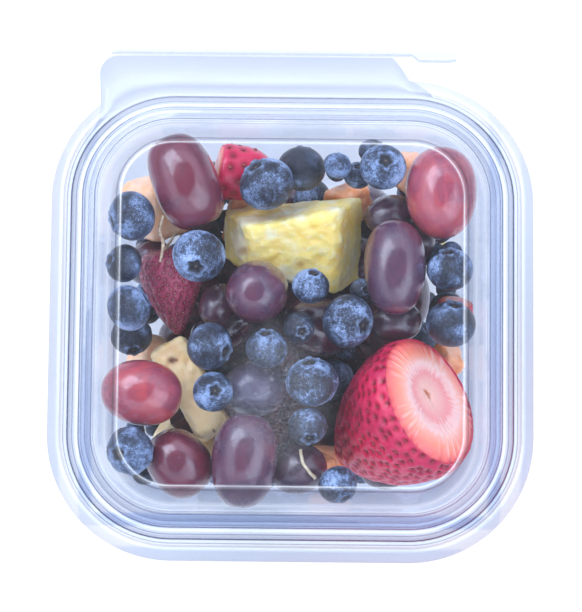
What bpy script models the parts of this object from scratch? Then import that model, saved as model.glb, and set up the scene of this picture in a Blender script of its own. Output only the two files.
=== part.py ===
"""Clear square fruit cup with a closed hinged lid and a tear strip, filled with cut fruit, grapes and berries.

Metres, +Z up. The origin is the centre of the base's flat foot, +X is the side where the strip's tail sticks out and
+Y is the hinge side. The lengths below are in millimetres and are scaled once, in add().
"""

import math

import bmesh
import bpy
import numpy as np
from mathutils import Euler, Vector

MM = 0.001

# ---- the container ---------------------------------------------------------------------------------------------------
SHEET = 0.6  # wall of the tray, the lid and the strip
GAP = 0.3  # clearance between pieces that touch
FLANGE_Z = 50.0  # parting plane between tray and lid, above the foot
CORNER = 30.4  # centre of every rim corner, from the middle, both ways
SMALL_RADIUS = 9.0  # least corner radius, at the foot
RIM = 62.8  # half width at the tray's outer edge
LID_EDGE = 58.4  # half width at the lid's free edge
BEAD = 54.3  # half width at the lid's outer step
BAND = 50.6  # half width at the lid's inner step
WINDOW = 44.4  # half width of the lid's flat window
WINDOW_Z = 9.2  # top of the window above the parting plane
MOUTH = 49.6  # half width of the tray's mouth
SHOULDER_DROP = 8.5  # stacking shoulder below the parting plane
FOOT = 38.5  # half width of the flat foot
SKIRT_DROP = 3.6  # how far the tray's outer edge hangs below the parting plane
UPSTAND = 1.7  # height of the ridge that guards the lid's free edge

# ---- the hinge flap and its strip --------------------------------------------------------------------------------------
FLAP_FAR = 68.2  # far edge of both flap layers
FLAP_LEFT = -50.5
FLAP_RIGHT_ROOT, FLAP_RIGHT_TIP = 30.2, 25.8
FLAP_ROUND = 5.0
STRIP_WIDTH = 1.4
TAIL_WIDTH = 2.9
TAIL_END = 42.4

# ---- the fruit, from above ---------------------------------------------------------------------------------------------
PLAN = 0.2595  # millimetres in one step of the plan below
PLAN_X, PLAN_Y = 291.5, 318.0  # the cup's middle on that plan, whose second axis runs towards the front
FRUIT_GAP = 0.28
DEEP = 45.0  # pieces whose top would lie lower than this look for a wider gap near by
CELL = 0.3  # cell of the height grid that the pieces are stacked on
HALF = 52.0

# Blueberries: plan place, radius, how far the crown leans from straight up, the way it leans (0 is +X), extra depth.
# Each list below is in order from the uppermost piece down; TURNS says how the kinds interleave.
BERRY = {
    "blueberry_01": (265, 186, 28.5, 58, 125, 0.0),
    "blueberry_02": (131, 219, 26.0, 75, 200, 0.5),
    "blueberry_03": (124, 267, 20.0, 60, 170, 1.5),
    "blueberry_04": (199.5, 258.5, 27.3, 38, -100, 0.0),
    "blueberry_05": (131, 311, 24.0, 80, 30, 0.6),
    "blueberry_06": (128, 336, 22.0, 65, -80, 1.0),
    "blueberry_07": (310, 288, 19.3, 52, 78, 1.0),
    "blueberry_08": (299, 328, 16.5, 30, -60, 5.0),
    "blueberry_09": (347, 322, 27.0, 50, -20, 0.0),
    "blueberry_10": (211.5, 348.5, 24.5, 62, -20, 0.6),
    "blueberry_11": (267.5, 350, 21.8, 55, 95, 1.0),
    "blueberry_12": (214.5, 393.5, 20.8, 10, 0, 1.6),
    "blueberry_13": (313, 382, 27.5, 60, 100, 0.0),
    "blueberry_14": (308, 427, 20.5, 50, -80, 2.0),
    "blueberry_15": (339, 484, 20.0, 70, -60, 0.4),
    "blueberry_16": (134, 452, 24.5, 35, 200, 0.0),
    "blueberry_17": (300, 164, 26.0, 110, 90, 0.0),
    "blueberry_18": (336, 168, 14.5, 70, 60, 0.6),
    "blueberry_19": (381, 168, 24.0, 12, 60, 0.4),
    "blueberry_20": (357, 172, 15.0, 40, 90, 0.0),
    "blueberry_21": (449, 269, 24.0, 60, 100, 0.4),
    "blueberry_22": (449, 323, 26.0, 60, 80, 0.4),
    "blueberry_23": (357, 277, 13.5, 20, 0, 1.0),
}
# Grapes: plan place, half length, half width, turn in plan, dip of the far end, extra depth, pressed flat by.
GRAPE = {
    "grape_01": (184, 183, 52, 35, -67, 5, 0.0, 0.5),
    "grape_02": (257, 293, 37, 32, 60, 68, 0.0, 0.6),
    "grape_03": (394, 267, 48.5, 31, 90, 6, 0.0, 0.7),
    "grape_04": (380, 210, 27, 22, 10, 10, 0.5, 0.0),
    "grape_05": (441, 190, 47, 36, 90, 4, 0.3, 0.4),
    "grape_06": (144.5, 395, 41.5, 33, -5, 5, 0.2, 0.4),
    "grape_07": (181, 463, 38, 33, -50, 15, 0.5, 0.3),
    "grape_08": (247, 460, 48, 33, 85, -8, 0.2, 0.5),
    "grape_09": (300, 468, 30, 25, 15, 10, 0.5, 0.0),
    "grape_10": (397, 324, 27, 21, 5, 5, 0.5, 0.0),
    "grape_11": (411, 226, 18, 14, 80, 10, 0.5, 0.0),
    "grape_12": (256, 388, 36, 28, 10, 10, 1.2, 0.3),
    "grape_13": (212, 303, 24, 20, 70, 30, 0.5, 0.0),
}
# Whole or cut strawberries: plan place of the middle of the thick end, half widths there, length, the way the tip
# points in plan, how far it dips, roll about the length, extra depth.
STRAWBERRY = {
    "strawberry_cut": (431, 400, 71, 57, 152, 205, 48, 0, 0.0),
    "strawberry_whole": (166, 248, 32, 28, 86, 277, 14, 0, 1.0),
    "strawberry_half": (214, 163, 29, 28, 58, 350, 10, 0, 0.2),
    "strawberry_bit": (457, 298, 18, 15, 44, 262, 30, 0, 1.0),
}
SKEW = 0.07  # the cut ones are cut askew: how far the tip lies off the cut's normal, for each unit of length
# Chunks: plan place, three half sizes, turn, tilt about their own length and across it, extra depth, corner taper.
CHUNK = {
    "pineapple_01": (291.5, 240, 58, 46, 28, 178, -24, 0, 0.0, 0.46),
    "pineapple_02": (191, 392, 57, 22, 26, -60, 0, 0, 0.2, 0.06),
    "melon_01": (236, 207, 22, 12, 22, 80, 10, 0, 0.2, 0.06),
    "melon_02": (350, 190, 17, 17, 19, 35, 35, 30, 0.2, 0.08),
    "melon_03": (406, 170, 15, 17, 19, 10, 35, 30, 0.2, 0.08),
    "melon_04": (133, 176, 30, 28, 28, 25, 30, 30, 0.3, 0.08),
    "melon_05": (121, 356, 17, 17, 19, 15, 35, 30, 0.2, 0.08),
    "melon_06": (461, 356, 13, 13, 16, -20, 35, 30, 0.2, 0.08),
    "melon_07": (332, 459, 13, 13, 17, 30, 35, 30, 0.2, 0.08),
}
TURNS = (
    "strawberry_cut blueberry_09 blueberry_13 grape_03 blueberry_04 grape_02 grape_01 blueberry_01 blueberry_02 grape_05 "
    "blueberry_10 blueberry_07 blueberry_16 grape_06 blueberry_11 grape_08 blueberry_15 blueberry_21 blueberry_22 "
    "blueberry_12 blueberry_05 blueberry_19 blueberry_03 blueberry_18 blueberry_14 blueberry_08 pineapple_01 "
    "strawberry_half blueberry_17 grape_12 grape_07 melon_01 grape_04 grape_09 strawberry_bit grape_10 grape_11 "
    "blueberry_23 blueberry_20 melon_02 melon_03 melon_07 melon_06 blueberry_06 melon_04 strawberry_whole pineapple_02 "
    "grape_13 melon_05"
).split()

BED_CAP = 43.0  # the lower heap rises no higher than this where nothing lies on it
BED_RINGS = 7


# ---- rims and walls -----------------------------------------------------------------------------------------------------
def corner_centre(r):
    return min(CORNER, r - SMALL_RADIUS) if r > SMALL_RADIUS else 0.0


def stations():
    """The places round the rim, anticlockwise: ("arc", quarter, angle), or ("side", share of the straight edge after
    that quarter, quarter)."""
    out = [("arc", 0, a) for a in (0, 18, 36, 54, 70, 80, 90)]
    out += [("side", s, 0) for s in (0.93, 0.855, 0.3, -0.3)]
    out += [("arc", 1, a) for a in (90, 99, 107, 113, 118, 123, 128.3, 134, 142, 154, 167, 180)]
    out += [("arc", 2, a) for a in (180, 198, 216, 234, 252, 270)]
    out += [("arc", 3, a) for a in (270, 288, 306, 324, 342, 360)]
    return out


def even_stations(arc_steps, side_steps):
    """Evenly spread places, for the heap."""
    out = []
    for quarter in range(4):
        out += [("arc", quarter, 90 * quarter + 90 * i / arc_steps) for i in range(arc_steps + 1)]
        out += [("side", 1 - 2 * (i + 1) / (side_steps + 1), quarter) for i in range(side_steps)]
    return out


def ring_point(r, station):
    k = corner_centre(r)
    if station[0] == "side":
        x, y = station[1] * k, r
        for _ in range(station[2]):
            x, y = -y, x
        return x, y
    a = math.radians(station[2])
    sx = 1 if station[1] in (0, 3) else -1
    sy = 1 if station[1] in (0, 1) else -1
    return sx * k + (r - k) * math.cos(a), sy * k + (r - k) * math.sin(a)


def flap_share(station, root):
    """How much a station belongs to the flap, from 0 on the plain rim to 1, and where its far edge is. root is the
    half width at which the layer leaves the rim."""
    x, y = ring_point(RIM, station)
    if station[0] == "side":
        if station[1] > 0.9:
            return 1.0, ((FLAP_RIGHT_ROOT + FLAP_RIGHT_TIP) / 2, (RIM + FLAP_FAR) / 2)
        return 1.0, (min(x, FLAP_RIGHT_TIP), FLAP_FAR)
    if station[1] == 1 and station[2] < 128:
        turn = (station[2] - 107) / (123 - 107)
        if turn <= 0:
            return 1.0, (x, FLAP_FAR)
        quarter = math.radians(90 + 90 * min(turn, 1))
        cx, cy = FLAP_LEFT + FLAP_ROUND, FLAP_FAR - FLAP_ROUND
        return 1.0, (cx + FLAP_ROUND * math.cos(quarter), cy + FLAP_ROUND * math.sin(quarter))
    if root < RIM:  # the lid's sheet runs out over the rim on both sides of the flap
        if station[1] == 1 and station[2] < 142:
            share = 1.0 if station[2] < 130 else 0.28
            return share, ring_point(RIM - 0.6, station)
        if station[1] == 0 and station[2] >= 80:
            return (1.0 if station[2] == 90 else 0.28), ring_point(RIM - 0.6, station)
    return 0.0, (x, y)


def upstand_share(station):
    if station[0] == "side":
        return 0.0
    if station[1] == 1:
        return min(max((station[2] - 134) / 14, 0.0), 1.0)
    if station[1] == 0:
        return min(max((76 - station[2]) / 12, 0.0), 1.0)
    return 1.0


def offset_down(profile, t):
    """The same profile moved by t to its under side, along its own normals."""
    out = []
    for i, (r, z) in enumerate(profile):
        a = profile[max(i - 1, 0)]
        b = profile[min(i + 1, len(profile) - 1)]
        n1 = normal(a, (r, z)) if i else None
        n2 = normal((r, z), b) if i < len(profile) - 1 else None
        n1, n2 = n1 or n2, n2 or n1
        s = (n1[0] + n2[0], n1[1] + n2[1])
        length = math.hypot(*s) or 1.0
        s = (s[0] / length, s[1] / length)
        reach = t / max(0.55, s[0] * n1[0] + s[1] * n1[1])
        out.append((r + s[0] * reach, z + s[1] * reach))
    return out


def normal(a, b):
    d = (b[0] - a[0], b[1] - a[1])
    length = math.hypot(*d) or 1.0
    return d[1] / length, -d[0] / length


def lid_profile():
    """The lid's upper side, from the window's edge out to its free edge: half width, height above the parting plane."""
    top = GAP / 2 + SHEET
    return [
        (WINDOW - 3.0, WINDOW_Z),
        (WINDOW - 0.5, WINDOW_Z),
        (WINDOW + 0.6, WINDOW_Z - 0.35),
        (BAND - 0.6, 4.5),
        (BAND, 4.0),
        (BAND + 0.4, 3.1),
        (BEAD - 0.7, 2.7),
        (BEAD, 2.2),
        (BEAD + 0.5, top),
        (LID_EDGE, top),
    ]


def tray_profile():
    """The tray's inner and upper side, from the foot out to its edge, heights from the foot's plane."""
    f = FLANGE_Z
    ledge = f - GAP / 2
    return [
        (28.0, SHEET),
        (30.5, SHEET),
        (31.5, SHEET + 0.9),
        (33.5, SHEET + 0.9),
        (34.5, SHEET),
        (FOOT, SHEET),
        (FOOT + 1.9, SHEET + 0.8),
        (FOOT + 3.0, SHEET + 2.6),
        (MOUTH - 1.9, f - SHOULDER_DROP - 1.0),
        (MOUTH - 0.9, f - SHOULDER_DROP + 0.2),
        (MOUTH, f - 1.2),
        (MOUTH + 0.6, f + 1.2),
        (MOUTH + 1.4, f + 1.75),
        (MOUTH + 3.1, f + 1.45),
        (MOUTH + 3.5, ledge),
        (LID_EDGE + 0.25, ledge),
    ]


def tray_edge(station):
    """The tray outside the ledge at one station: the guard ridge, then the skirt, or the flap's lower layer."""
    f = FLANGE_Z
    ledge = f - GAP / 2
    up = upstand_share(station)
    share, far = flap_share(station, RIM)
    rows = [(LID_EDGE + 0.85, ledge + (UPSTAND + GAP / 2) * up), (LID_EDGE + 1.7, ledge + (UPSTAND + GAP / 2) * up), (RIM, f - SKIRT_DROP)]
    out = []
    root = ring_point(LID_EDGE + 0.25, station)
    for i, (r, z) in enumerate(rows):
        x, y = ring_point(r, station)
        t = ((i + 1) / len(rows)) ** 1.0
        fx, fy = root[0] + (far[0] - root[0]) * t, root[1] + (far[1] - root[1]) * t
        out.append((x + (fx - x) * share, y + (fy - y) * share, z + (ledge - z) * share))
    return out


def sheet_solid(upper, lower):
    """A closed solid from two stacks of loops, each from the middle outward; both middles are capped."""
    n = len(upper[0])
    verts = [p for loop in upper for p in loop] + [p for loop in lower for p in loop]
    rows = len(upper)
    faces = []

    def at(side, row, i):
        return (side * rows + row) * n + i % n

    for row in range(rows - 1):
        for i in range(n):
            faces.append((at(0, row, i), at(0, row + 1, i), at(0, row + 1, i + 1), at(0, row, i + 1)))
            faces.append((at(1, row, i), at(1, row, i + 1), at(1, row + 1, i + 1), at(1, row + 1, i)))
    for i in range(n):
        faces.append((at(0, rows - 1, i), at(1, rows - 1, i), at(1, rows - 1, i + 1), at(0, rows - 1, i + 1)))
    faces.append(tuple(at(0, 0, i) for i in range(n)))
    faces.append(tuple(at(1, 0, i) for i in reversed(range(n))))
    return verts, faces


def tray_mesh():
    places = stations()
    inner = tray_profile()
    under = offset_down(inner, SHEET)
    upper = [[(*ring_point(r, s), z) for s in places] for r, z in inner]
    lower = [[(*ring_point(r, s), z) for s in places] for r, z in under]
    edges = [tray_edge(s) for s in places]
    for row in range(3):
        upper.append([e[row] for e in edges])
    for row in range(3):
        loop = []
        for s, e in zip(places, edges, strict=True):
            x, y, z = e[row]
            if flap_share(s, RIM)[0] == 0 and row < 2:
                cx, cy = ring_point(LID_EDGE + (1.05 if row == 0 else 1.25), s)
                up = upstand_share(s)
                loop.append((cx, cy, z - SHEET * (1.0 + 0.1 * up)))
            elif flap_share(s, RIM)[0] == 0:
                cx, cy = ring_point(RIM - SHEET * 0.75, s)
                loop.append((cx, cy, z - SHEET * 0.35))
            else:
                loop.append((x, y, z - SHEET))
        lower.append(loop)
    return sheet_solid(upper, lower)


def lid_mesh():
    places = stations()
    top = lid_profile()
    under = offset_down(top, SHEET)
    f = FLANGE_Z
    upper = [[(*ring_point(r, s), f + z) for s in places] for r, z in top]
    lower = [[(*ring_point(r, s), f + z) for s in places] for r, z in under]
    shares = [flap_share(s, LID_EDGE) for s in places]
    for stack, z in ((upper, f + GAP / 2 + SHEET), (lower, f + GAP / 2)):
        loop = []
        for s, (share, far) in zip(places, shares, strict=True):
            x, y = ring_point(LID_EDGE + 0.02, s)
            loop.append((x + (far[0] - x) * share, y + (far[1] - y) * share, z))
        stack.append(loop)
    return sheet_solid(upper, lower)


def strip_mesh():
    """The folded strip along the flap's far edge, open towards the flap, and its free tail."""
    f = FLANGE_Z
    low, high = f - GAP / 2 - SHEET, f + GAP / 2 + SHEET
    near = FLAP_FAR + GAP
    out = near + STRIP_WIDTH
    cx = FLAP_LEFT + FLAP_ROUND
    rows = []
    for x in (cx - 2.2, cx, -20.0, 5.0, FLAP_RIGHT_TIP, FLAP_RIGHT_ROOT + 0.6, FLAP_RIGHT_ROOT + 2.6, TAIL_END - 2.0, TAIL_END):
        y1 = out
        y0 = near
        if x < cx:
            y1 = out - 0.75
            y0 = near
        if x > FLAP_RIGHT_ROOT + 2:
            y0 = out - TAIL_WIDTH
        if x > TAIL_END - 1:
            y1, y0 = out - 0.5, y0 + 0.4
        rows.append((x, y0, y1))
    verts, faces = [], []
    for x, y0, y1 in rows:
        slot = min(0.7, (y1 - y0) * 0.5)
        section = [(y0, low), (y1 - 0.3, low), (y1, low + 0.3), (y1, high - 0.3), (y1 - 0.3, high), (y0, high), (y0, f + GAP / 2), (y0 + slot, f + GAP / 2), (y0 + slot, f - GAP / 2), (y0, f - GAP / 2)]
        verts += [(x, y, z) for y, z in section]
    n = 10
    for r in range(len(rows) - 1):
        for i in range(n):
            a, b = r * n + i, r * n + (i + 1) % n
            faces.append((a, b, b + n, a + n))
    # the slot's mouth closes each end as one polygon
    faces.append(tuple(range(n - 1, -1, -1)))
    last = (len(rows) - 1) * n
    faces.append(tuple(last + i for i in range(n)))
    return verts, faces


# ---- fruit shapes, each about its own middle ----------------------------------------------------------------------------
def revolve(profile, segments):
    verts = [(0, 0, profile[0][1])]
    for r, z in profile[1:-1]:
        verts += [(r * math.cos(2 * math.pi * i / segments), r * math.sin(2 * math.pi * i / segments), z) for i in range(segments)]
    verts.append((0, 0, profile[-1][1]))
    rows = len(profile) - 2
    faces = [(0, 1 + (i + 1) % segments, 1 + i) for i in range(segments)]
    for row in range(rows - 1):
        for i in range(segments):
            a = 1 + row * segments + i
            b = 1 + row * segments + (i + 1) % segments
            faces.append((a, b, b + segments, a + segments))
    end = len(verts) - 1
    base = 1 + (rows - 1) * segments
    faces += [(base + i, base + (i + 1) % segments, end) for i in range(segments)]
    return verts, faces


def berry_shape(radius):
    """A slightly flattened ball with a sunk crown on top."""
    flat = 0.9
    profile = [(0, -flat * radius)]
    for lat in (-58, -24, 10, 40):
        a = math.radians(lat)
        profile.append((radius * math.cos(a), flat * radius * math.sin(a)))
    profile.append((0.40 * radius, 0.90 * flat * radius))
    profile.append((0.0, 0.74 * flat * radius))
    return revolve(profile, 10)


def grape_shape(half_length, half_width, pressed):
    """An oval along X, blunter at one end, with its uppermost side pressed flat."""
    profile = [(0, -half_length)]
    for lat in (-62, -33, -4, 28, 60):
        a = math.radians(lat)
        blunt = 1.0 + 0.04 * math.sin(a)
        profile.append((half_width * blunt * math.cos(a) ** 0.92, half_length * math.sin(a)))
    profile.append((0, half_length * 0.97))
    verts, faces = revolve(profile, 10)
    return [(z, x, y) for x, y, z in verts], faces


def strawberry_shape(half_a, half_b, length, whole):
    """The thick end is a flat cut at X = 0, or a low shoulder where whole, and the tip is at X = length."""
    share = [(0.0, 0.94), (0.10, 1.02), (0.26, 1.0), (0.44, 0.90), (0.62, 0.74), (0.78, 0.53), (0.92, 0.28)]
    if whole:
        share = [(-0.04, 0.45), (0.0, 0.80), (0.12, 1.0), (0.30, 1.0), (0.50, 0.86), (0.70, 0.62), (0.88, 0.34)]
    profile = [(0.0, (-0.02 if whole else 0.0) * length)] + [(s, t * length) for t, s in share] + [(0.0, length)]
    verts, faces = revolve(profile, 14)
    skew = 0.0 if whole else SKEW
    return [(z, x * half_a + skew * z, y * half_b) for x, y, z in verts], faces


def chunk_shape(hx, hy, hz, taper):
    """A knife-cut block, one end narrower, its edges rounded."""
    bm = bmesh.new()
    bmesh.ops.create_cube(bm, size=2.0)
    for v in bm.verts:
        narrow = 1.0 - taper * (v.co.x + 1) / 2
        v.co = Vector((hx * v.co.x * (1 - 0.5 * taper * v.co.z), hy * v.co.y * narrow, hz * v.co.z * (1 - 0.4 * taper * v.co.y)))
    bmesh.ops.bevel(bm, geom=bm.edges[:], offset=min(hx, hy, hz) * 0.17, segments=1, affect="EDGES")
    bm.verts.ensure_lookup_table()
    verts = [tuple(v.co) for v in bm.verts]
    faces = [tuple(v.index for v in f.verts) for f in bm.faces]
    bm.free()
    return verts, faces


def along(turn, dip, roll=0.0):
    """Rotation that points a piece's own +X the way turn says in plan, its end dipping by dip."""
    return Euler((0, 0, math.radians(turn))).to_matrix() @ Euler((0, math.radians(dip), 0)).to_matrix() @ Euler((math.radians(roll), 0, 0)).to_matrix()


def piece_shape(name):
    """(points turned as the piece lies, faces, plan place in millimetres, extra depth, pressed) of one piece."""
    if name in BERRY:
        x, y, r, lean, way, drop = BERRY[name]
        verts, faces = berry_shape(r * PLAN)
        turn = Euler((0, 0, math.radians(way))).to_matrix() @ Euler((0, math.radians(lean), 0)).to_matrix()
        pressed = 0.0
    elif name in GRAPE:
        x, y, a, b, way, dip, drop, pressed = GRAPE[name]
        verts, faces = grape_shape(a * PLAN, b * PLAN, pressed)
        turn = along(way, dip)
    elif name in STRAWBERRY:
        x, y, a, b, length, way, dip, roll, drop = STRAWBERRY[name]
        verts, faces = strawberry_shape(a * PLAN, b * PLAN, length * PLAN, name.endswith("whole"))
        turn = along(way, dip, roll)
        pressed = 0.0
    else:
        x, y, hx, hy, hz, way, tilt, across, drop, taper = CHUNK[name]
        verts, faces = chunk_shape(hx * PLAN, hy * PLAN, hz * PLAN, taper)
        turn = along(way, across, tilt)
        pressed = 0.0
    points = np.array([tuple(turn @ Vector(v)) for v in verts])
    if pressed:
        top = points[:, 2].max() - pressed
        points[:, 2] = np.minimum(points[:, 2], top + 0.06 * (points[:, 2] - top))
    return points, faces, ((x - PLAN_X) * PLAN, (PLAN_Y - y) * PLAN), drop


# ---- stacking -----------------------------------------------------------------------------------------------------------
AXIS = np.arange(-HALF, HALF + CELL / 2, CELL)
GX, GY = np.meshgrid(AXIS, AXIS, indexing="ij")


def half_width_at(x, y):
    ax, ay = np.abs(x), np.abs(y)
    in_corner = (ax > CORNER) & (ay > CORNER)
    return np.where(in_corner, CORNER + np.hypot(ax - CORNER, ay - CORNER), np.maximum(ax, ay))


def triangles(faces):
    return [(f[0], f[i], f[i + 1]) for f in faces for i in range(1, len(f) - 1)]


def heights(points, faces):
    """Top and bottom height of a piece over each grid cell that it covers; infinities elsewhere."""
    i0 = max(int((points[:, 0].min() + HALF) / CELL) - 1, 0)
    i1 = min(int((points[:, 0].max() + HALF) / CELL) + 3, len(AXIS))
    j0 = max(int((points[:, 1].min() + HALF) / CELL) - 1, 0)
    j1 = min(int((points[:, 1].max() + HALF) / CELL) + 3, len(AXIS))
    x, y = GX[i0:i1, j0:j1], GY[i0:i1, j0:j1]
    top = np.full(x.shape, -np.inf)
    low = np.full(x.shape, np.inf)
    for a, b, c in triangles(faces):
        p, q, r = points[a], points[b], points[c]
        det = (q[0] - p[0]) * (r[1] - p[1]) - (r[0] - p[0]) * (q[1] - p[1])
        if abs(det) < 1e-9:
            continue
        u = ((x - p[0]) * (r[1] - p[1]) - (r[0] - p[0]) * (y - p[1])) / det
        v = ((q[0] - p[0]) * (y - p[1]) - (x - p[0]) * (q[1] - p[1])) / det
        inside = (u >= -1e-6) & (v >= -1e-6) & (u + v <= 1 + 1e-6)
        z = p[2] + u * (q[2] - p[2]) + v * (r[2] - p[2])
        top = np.where(inside, np.maximum(top, z), top)
        low = np.where(inside, np.minimum(low, z), low)
    return (slice(i0, i1), slice(j0, j1)), top, low


def spread(field, pick, cells):
    """Each cell takes the extreme of its neighbours, which keeps pieces apart sideways."""
    for _ in range(cells):
        wide = np.pad(field, 1, mode="edge")
        field = pick.reduce([wide[1 + i : wide.shape[0] - 1 + i, 1 + j : wide.shape[1] - 1 + j] for i in (-1, 0, 1) for j in (-1, 0, 1)])
    return field


def limits():
    """Under side of the lid and inner side of the tray, as heights over the grid."""
    r = half_width_at(GX, GY)
    under = offset_down(lid_profile(), SHEET)
    lid = np.interp(r, [p[0] for p in under], [FLANGE_Z + p[1] for p in under])
    inner = tray_profile()[5:12]
    tray = np.interp(r, [p[0] for p in inner], [p[1] for p in inner])
    tray = np.where(r > inner[-1][0], FLANGE_Z + 20, tray)
    return spread(lid, np.minimum, 1), spread(tray, np.maximum, 1)


def lay(points, faces, cx, cy, drop, ceiling, wall):
    """The piece moved to (cx, cy) and as high as it fits, less its extra depth; None where the wall is in the way."""
    moved = points + np.array([cx, cy, 0.0])
    window, top, low = heights(moved, faces)
    z_high = np.min(ceiling[window] - top) - FRUIT_GAP
    z_low = np.max(wall[window] - low) + FRUIT_GAP
    if z_low > z_high:
        return None
    z = max(z_high - drop, z_low)
    moved[:, 2] += z
    return moved, window, low + z


def stack():
    """Every piece as high under the lid as the pieces above it and the tray's walls let it lie."""
    ceiling, wall = limits()
    placed = {}
    for name in TURNS:
        points, faces, (cx, cy), drop = piece_shape(name)
        best = lay(points, faces, cx, cy, drop, ceiling, wall)
        while best is None:
            reach = math.hypot(cx, cy)
            cx -= 0.3 * cx / reach
            cy -= 0.3 * cy / reach
            best = lay(points, faces, cx, cy, drop, ceiling, wall)
        if best[0][:, 2].max() < DEEP:  # a piece squeezed down nestles into the nearest wider gap
            score = best[0][:, 2].max()
            for scale in (1.0, 0.9, 0.8):
                for dx in (-3.0, -1.5, 0.0, 1.5, 3.0):
                    for dy in (-3.0, -1.5, 0.0, 1.5, 3.0):
                        found = lay(points * scale, faces, cx + dx, cy + dy, drop, ceiling, wall)
                        if found is None:
                            continue
                        worth = min(found[0][:, 2].max(), DEEP + 2.0) - 1.1 * math.hypot(dx, dy) - 30.0 * (1.0 - scale)
                        if worth > score:
                            best, score = found, worth
        moved, window, low = best
        placed[name] = (moved, faces)
        covered = np.where(np.isfinite(low), low, np.inf)
        ceiling[window] = np.minimum(ceiling[window], spread(covered, np.minimum, 1))
    return placed, ceiling, wall


def bed_mesh(ceiling):
    """The lower heap: one uneven solid between the tray and the undersides of the pieces on it."""
    places = even_stations(3, 5)
    rings = [MOUTH * (j + 1) / (BED_RINGS + 1) for j in range(BED_RINGS)]
    inner = tray_profile()
    sides = [(FOOT + 1.4, inner[2][1] + GAP)] + [(r - GAP - 0.1, z) for r, z in inner[7:9]]  # clear of the foot's ring

    def low_over(x, y, reach):
        near = (GX - x) ** 2 + (GY - y) ** 2 <= reach * reach
        return min(float(ceiling[near].min()) - GAP, BED_CAP + 1.6 * math.sin(0.21 * x + 1.0) * math.sin(0.19 * y))

    edge_z = []
    rim_r = sides[-1][0]
    for s in places:
        x, y = ring_point(rim_r, s)
        edge_z.append(max(low_over(x, y, 10.0), inner[7][1] + 4.0))
    loops = []
    for r, z in sides[:-1]:
        loops.append([(*ring_point(r, s), z) for s in places])
    slope = (sides[-1][0] - sides[-2][0]) / (sides[-1][1] - sides[-2][1])
    loops.append([(*ring_point(sides[-2][0] + slope * (z - sides[-2][1]) - 0.05, s), z) for s, z in zip(places, edge_z, strict=True)])
    for r in reversed([r for r in rings if r < 40.5]):
        loop = []
        for s in places:
            x, y = ring_point(r, s)
            loop.append((x, y, max(low_over(x, y, 10.0), 4.0)))
        loops.append(loop)
    n = len(places)
    verts = [p for loop in loops for p in loop]
    verts.append((0.0, 0.0, low_over(0, 0, 8.0)))
    faces = [tuple(range(n - 1, -1, -1))]
    for row in range(len(loops) - 1):
        for i in range(n):
            a, b = row * n + i, row * n + (i + 1) % n
            faces.append((a, b, b + n))
            faces.append((a, b + n, a + n))
    last = (len(loops) - 1) * n
    faces += [(last + i, last + (i + 1) % n, len(verts) - 1) for i in range(n)]
    return verts, faces


# ---- objects ------------------------------------------------------------------------------------------------------------
def material(name, colour, rough, alpha=1.0):
    mat = bpy.data.materials.new(name)
    mat.use_nodes = True
    shader = mat.node_tree.nodes["Principled BSDF"]
    shader.inputs["Base Color"].default_value = (*colour, 1.0)
    shader.inputs["Roughness"].default_value = rough
    shader.inputs["Metallic"].default_value = 0.0
    shader.inputs["Alpha"].default_value = alpha
    return mat


def add(name, verts, faces, mat, smooth=40):
    """A closed mesh object at its place, welded, with its faces pointing out."""
    mesh = bpy.data.meshes.new(name)
    mesh.from_pydata([(x * MM, y * MM, z * MM) for x, y, z in verts], [], faces)
    bm = bmesh.new()
    bm.from_mesh(mesh)
    bmesh.ops.remove_doubles(bm, verts=bm.verts[:], dist=0.000004)
    bmesh.ops.triangulate(bm, faces=[f for f in bm.faces if len(f.verts) > 3])
    bmesh.ops.recalc_face_normals(bm, faces=bm.faces[:])
    bm.to_mesh(mesh)
    bm.free()
    mesh.shade_smooth()
    mesh.set_sharp_from_angle(angle=math.radians(smooth))
    mesh.materials.append(mat)
    obj = bpy.data.objects.new(name, mesh)
    bpy.context.scene.collection.objects.link(obj)
    return obj


COLOURS = {
    "blueberry": (0.045, 0.075, 0.17),
    "grape": (0.16, 0.045, 0.10),
    "strawberry": (0.55, 0.03, 0.05),
    "pineapple": (0.80, 0.62, 0.22),
    "melon": (0.85, 0.42, 0.16),
}


def main():
    for obj in list(bpy.data.objects):
        bpy.data.objects.remove(obj, do_unlink=True)
    cup = bpy.data.objects.new("cup", None)
    bpy.context.scene.collection.objects.link(cup)
    clear = (0.78, 0.83, 0.95)
    made = [
        add("tray", *tray_mesh(), material("tray", clear, 0.08, 0.35)),
        add("lid", *lid_mesh(), material("lid", clear, 0.06, 0.35)),
        add("tear_strip", *strip_mesh(), material("tear_strip", clear, 0.08, 0.35)),
    ]
    placed, ceiling, _ = stack()
    for name, (points, faces) in placed.items():
        kind = name.split("_")[0]
        made.append(add(name, [tuple(p) for p in points], faces, material(name, COLOURS[kind], 0.4)))
    made.append(add("fruit_bed", *bed_mesh(ceiling), material("fruit_bed", (0.30, 0.12, 0.12), 0.5)))
    for obj in made:
        obj.parent = cup


main()
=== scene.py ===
"""Looks of the fruit cup: a clear square tray with a lid, a flap and a tear strip, full of berries, grapes and cut fruit.

Lengths inside the shape functions are in millimetres; objects are made in metres. Every fruit piece is built about its
own middle, turned as its solid lies, and then fitted to that solid's box.
"""

import math

import bmesh
import bpy
import numpy as np
from mathutils import Euler, Matrix, Vector, noise


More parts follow.
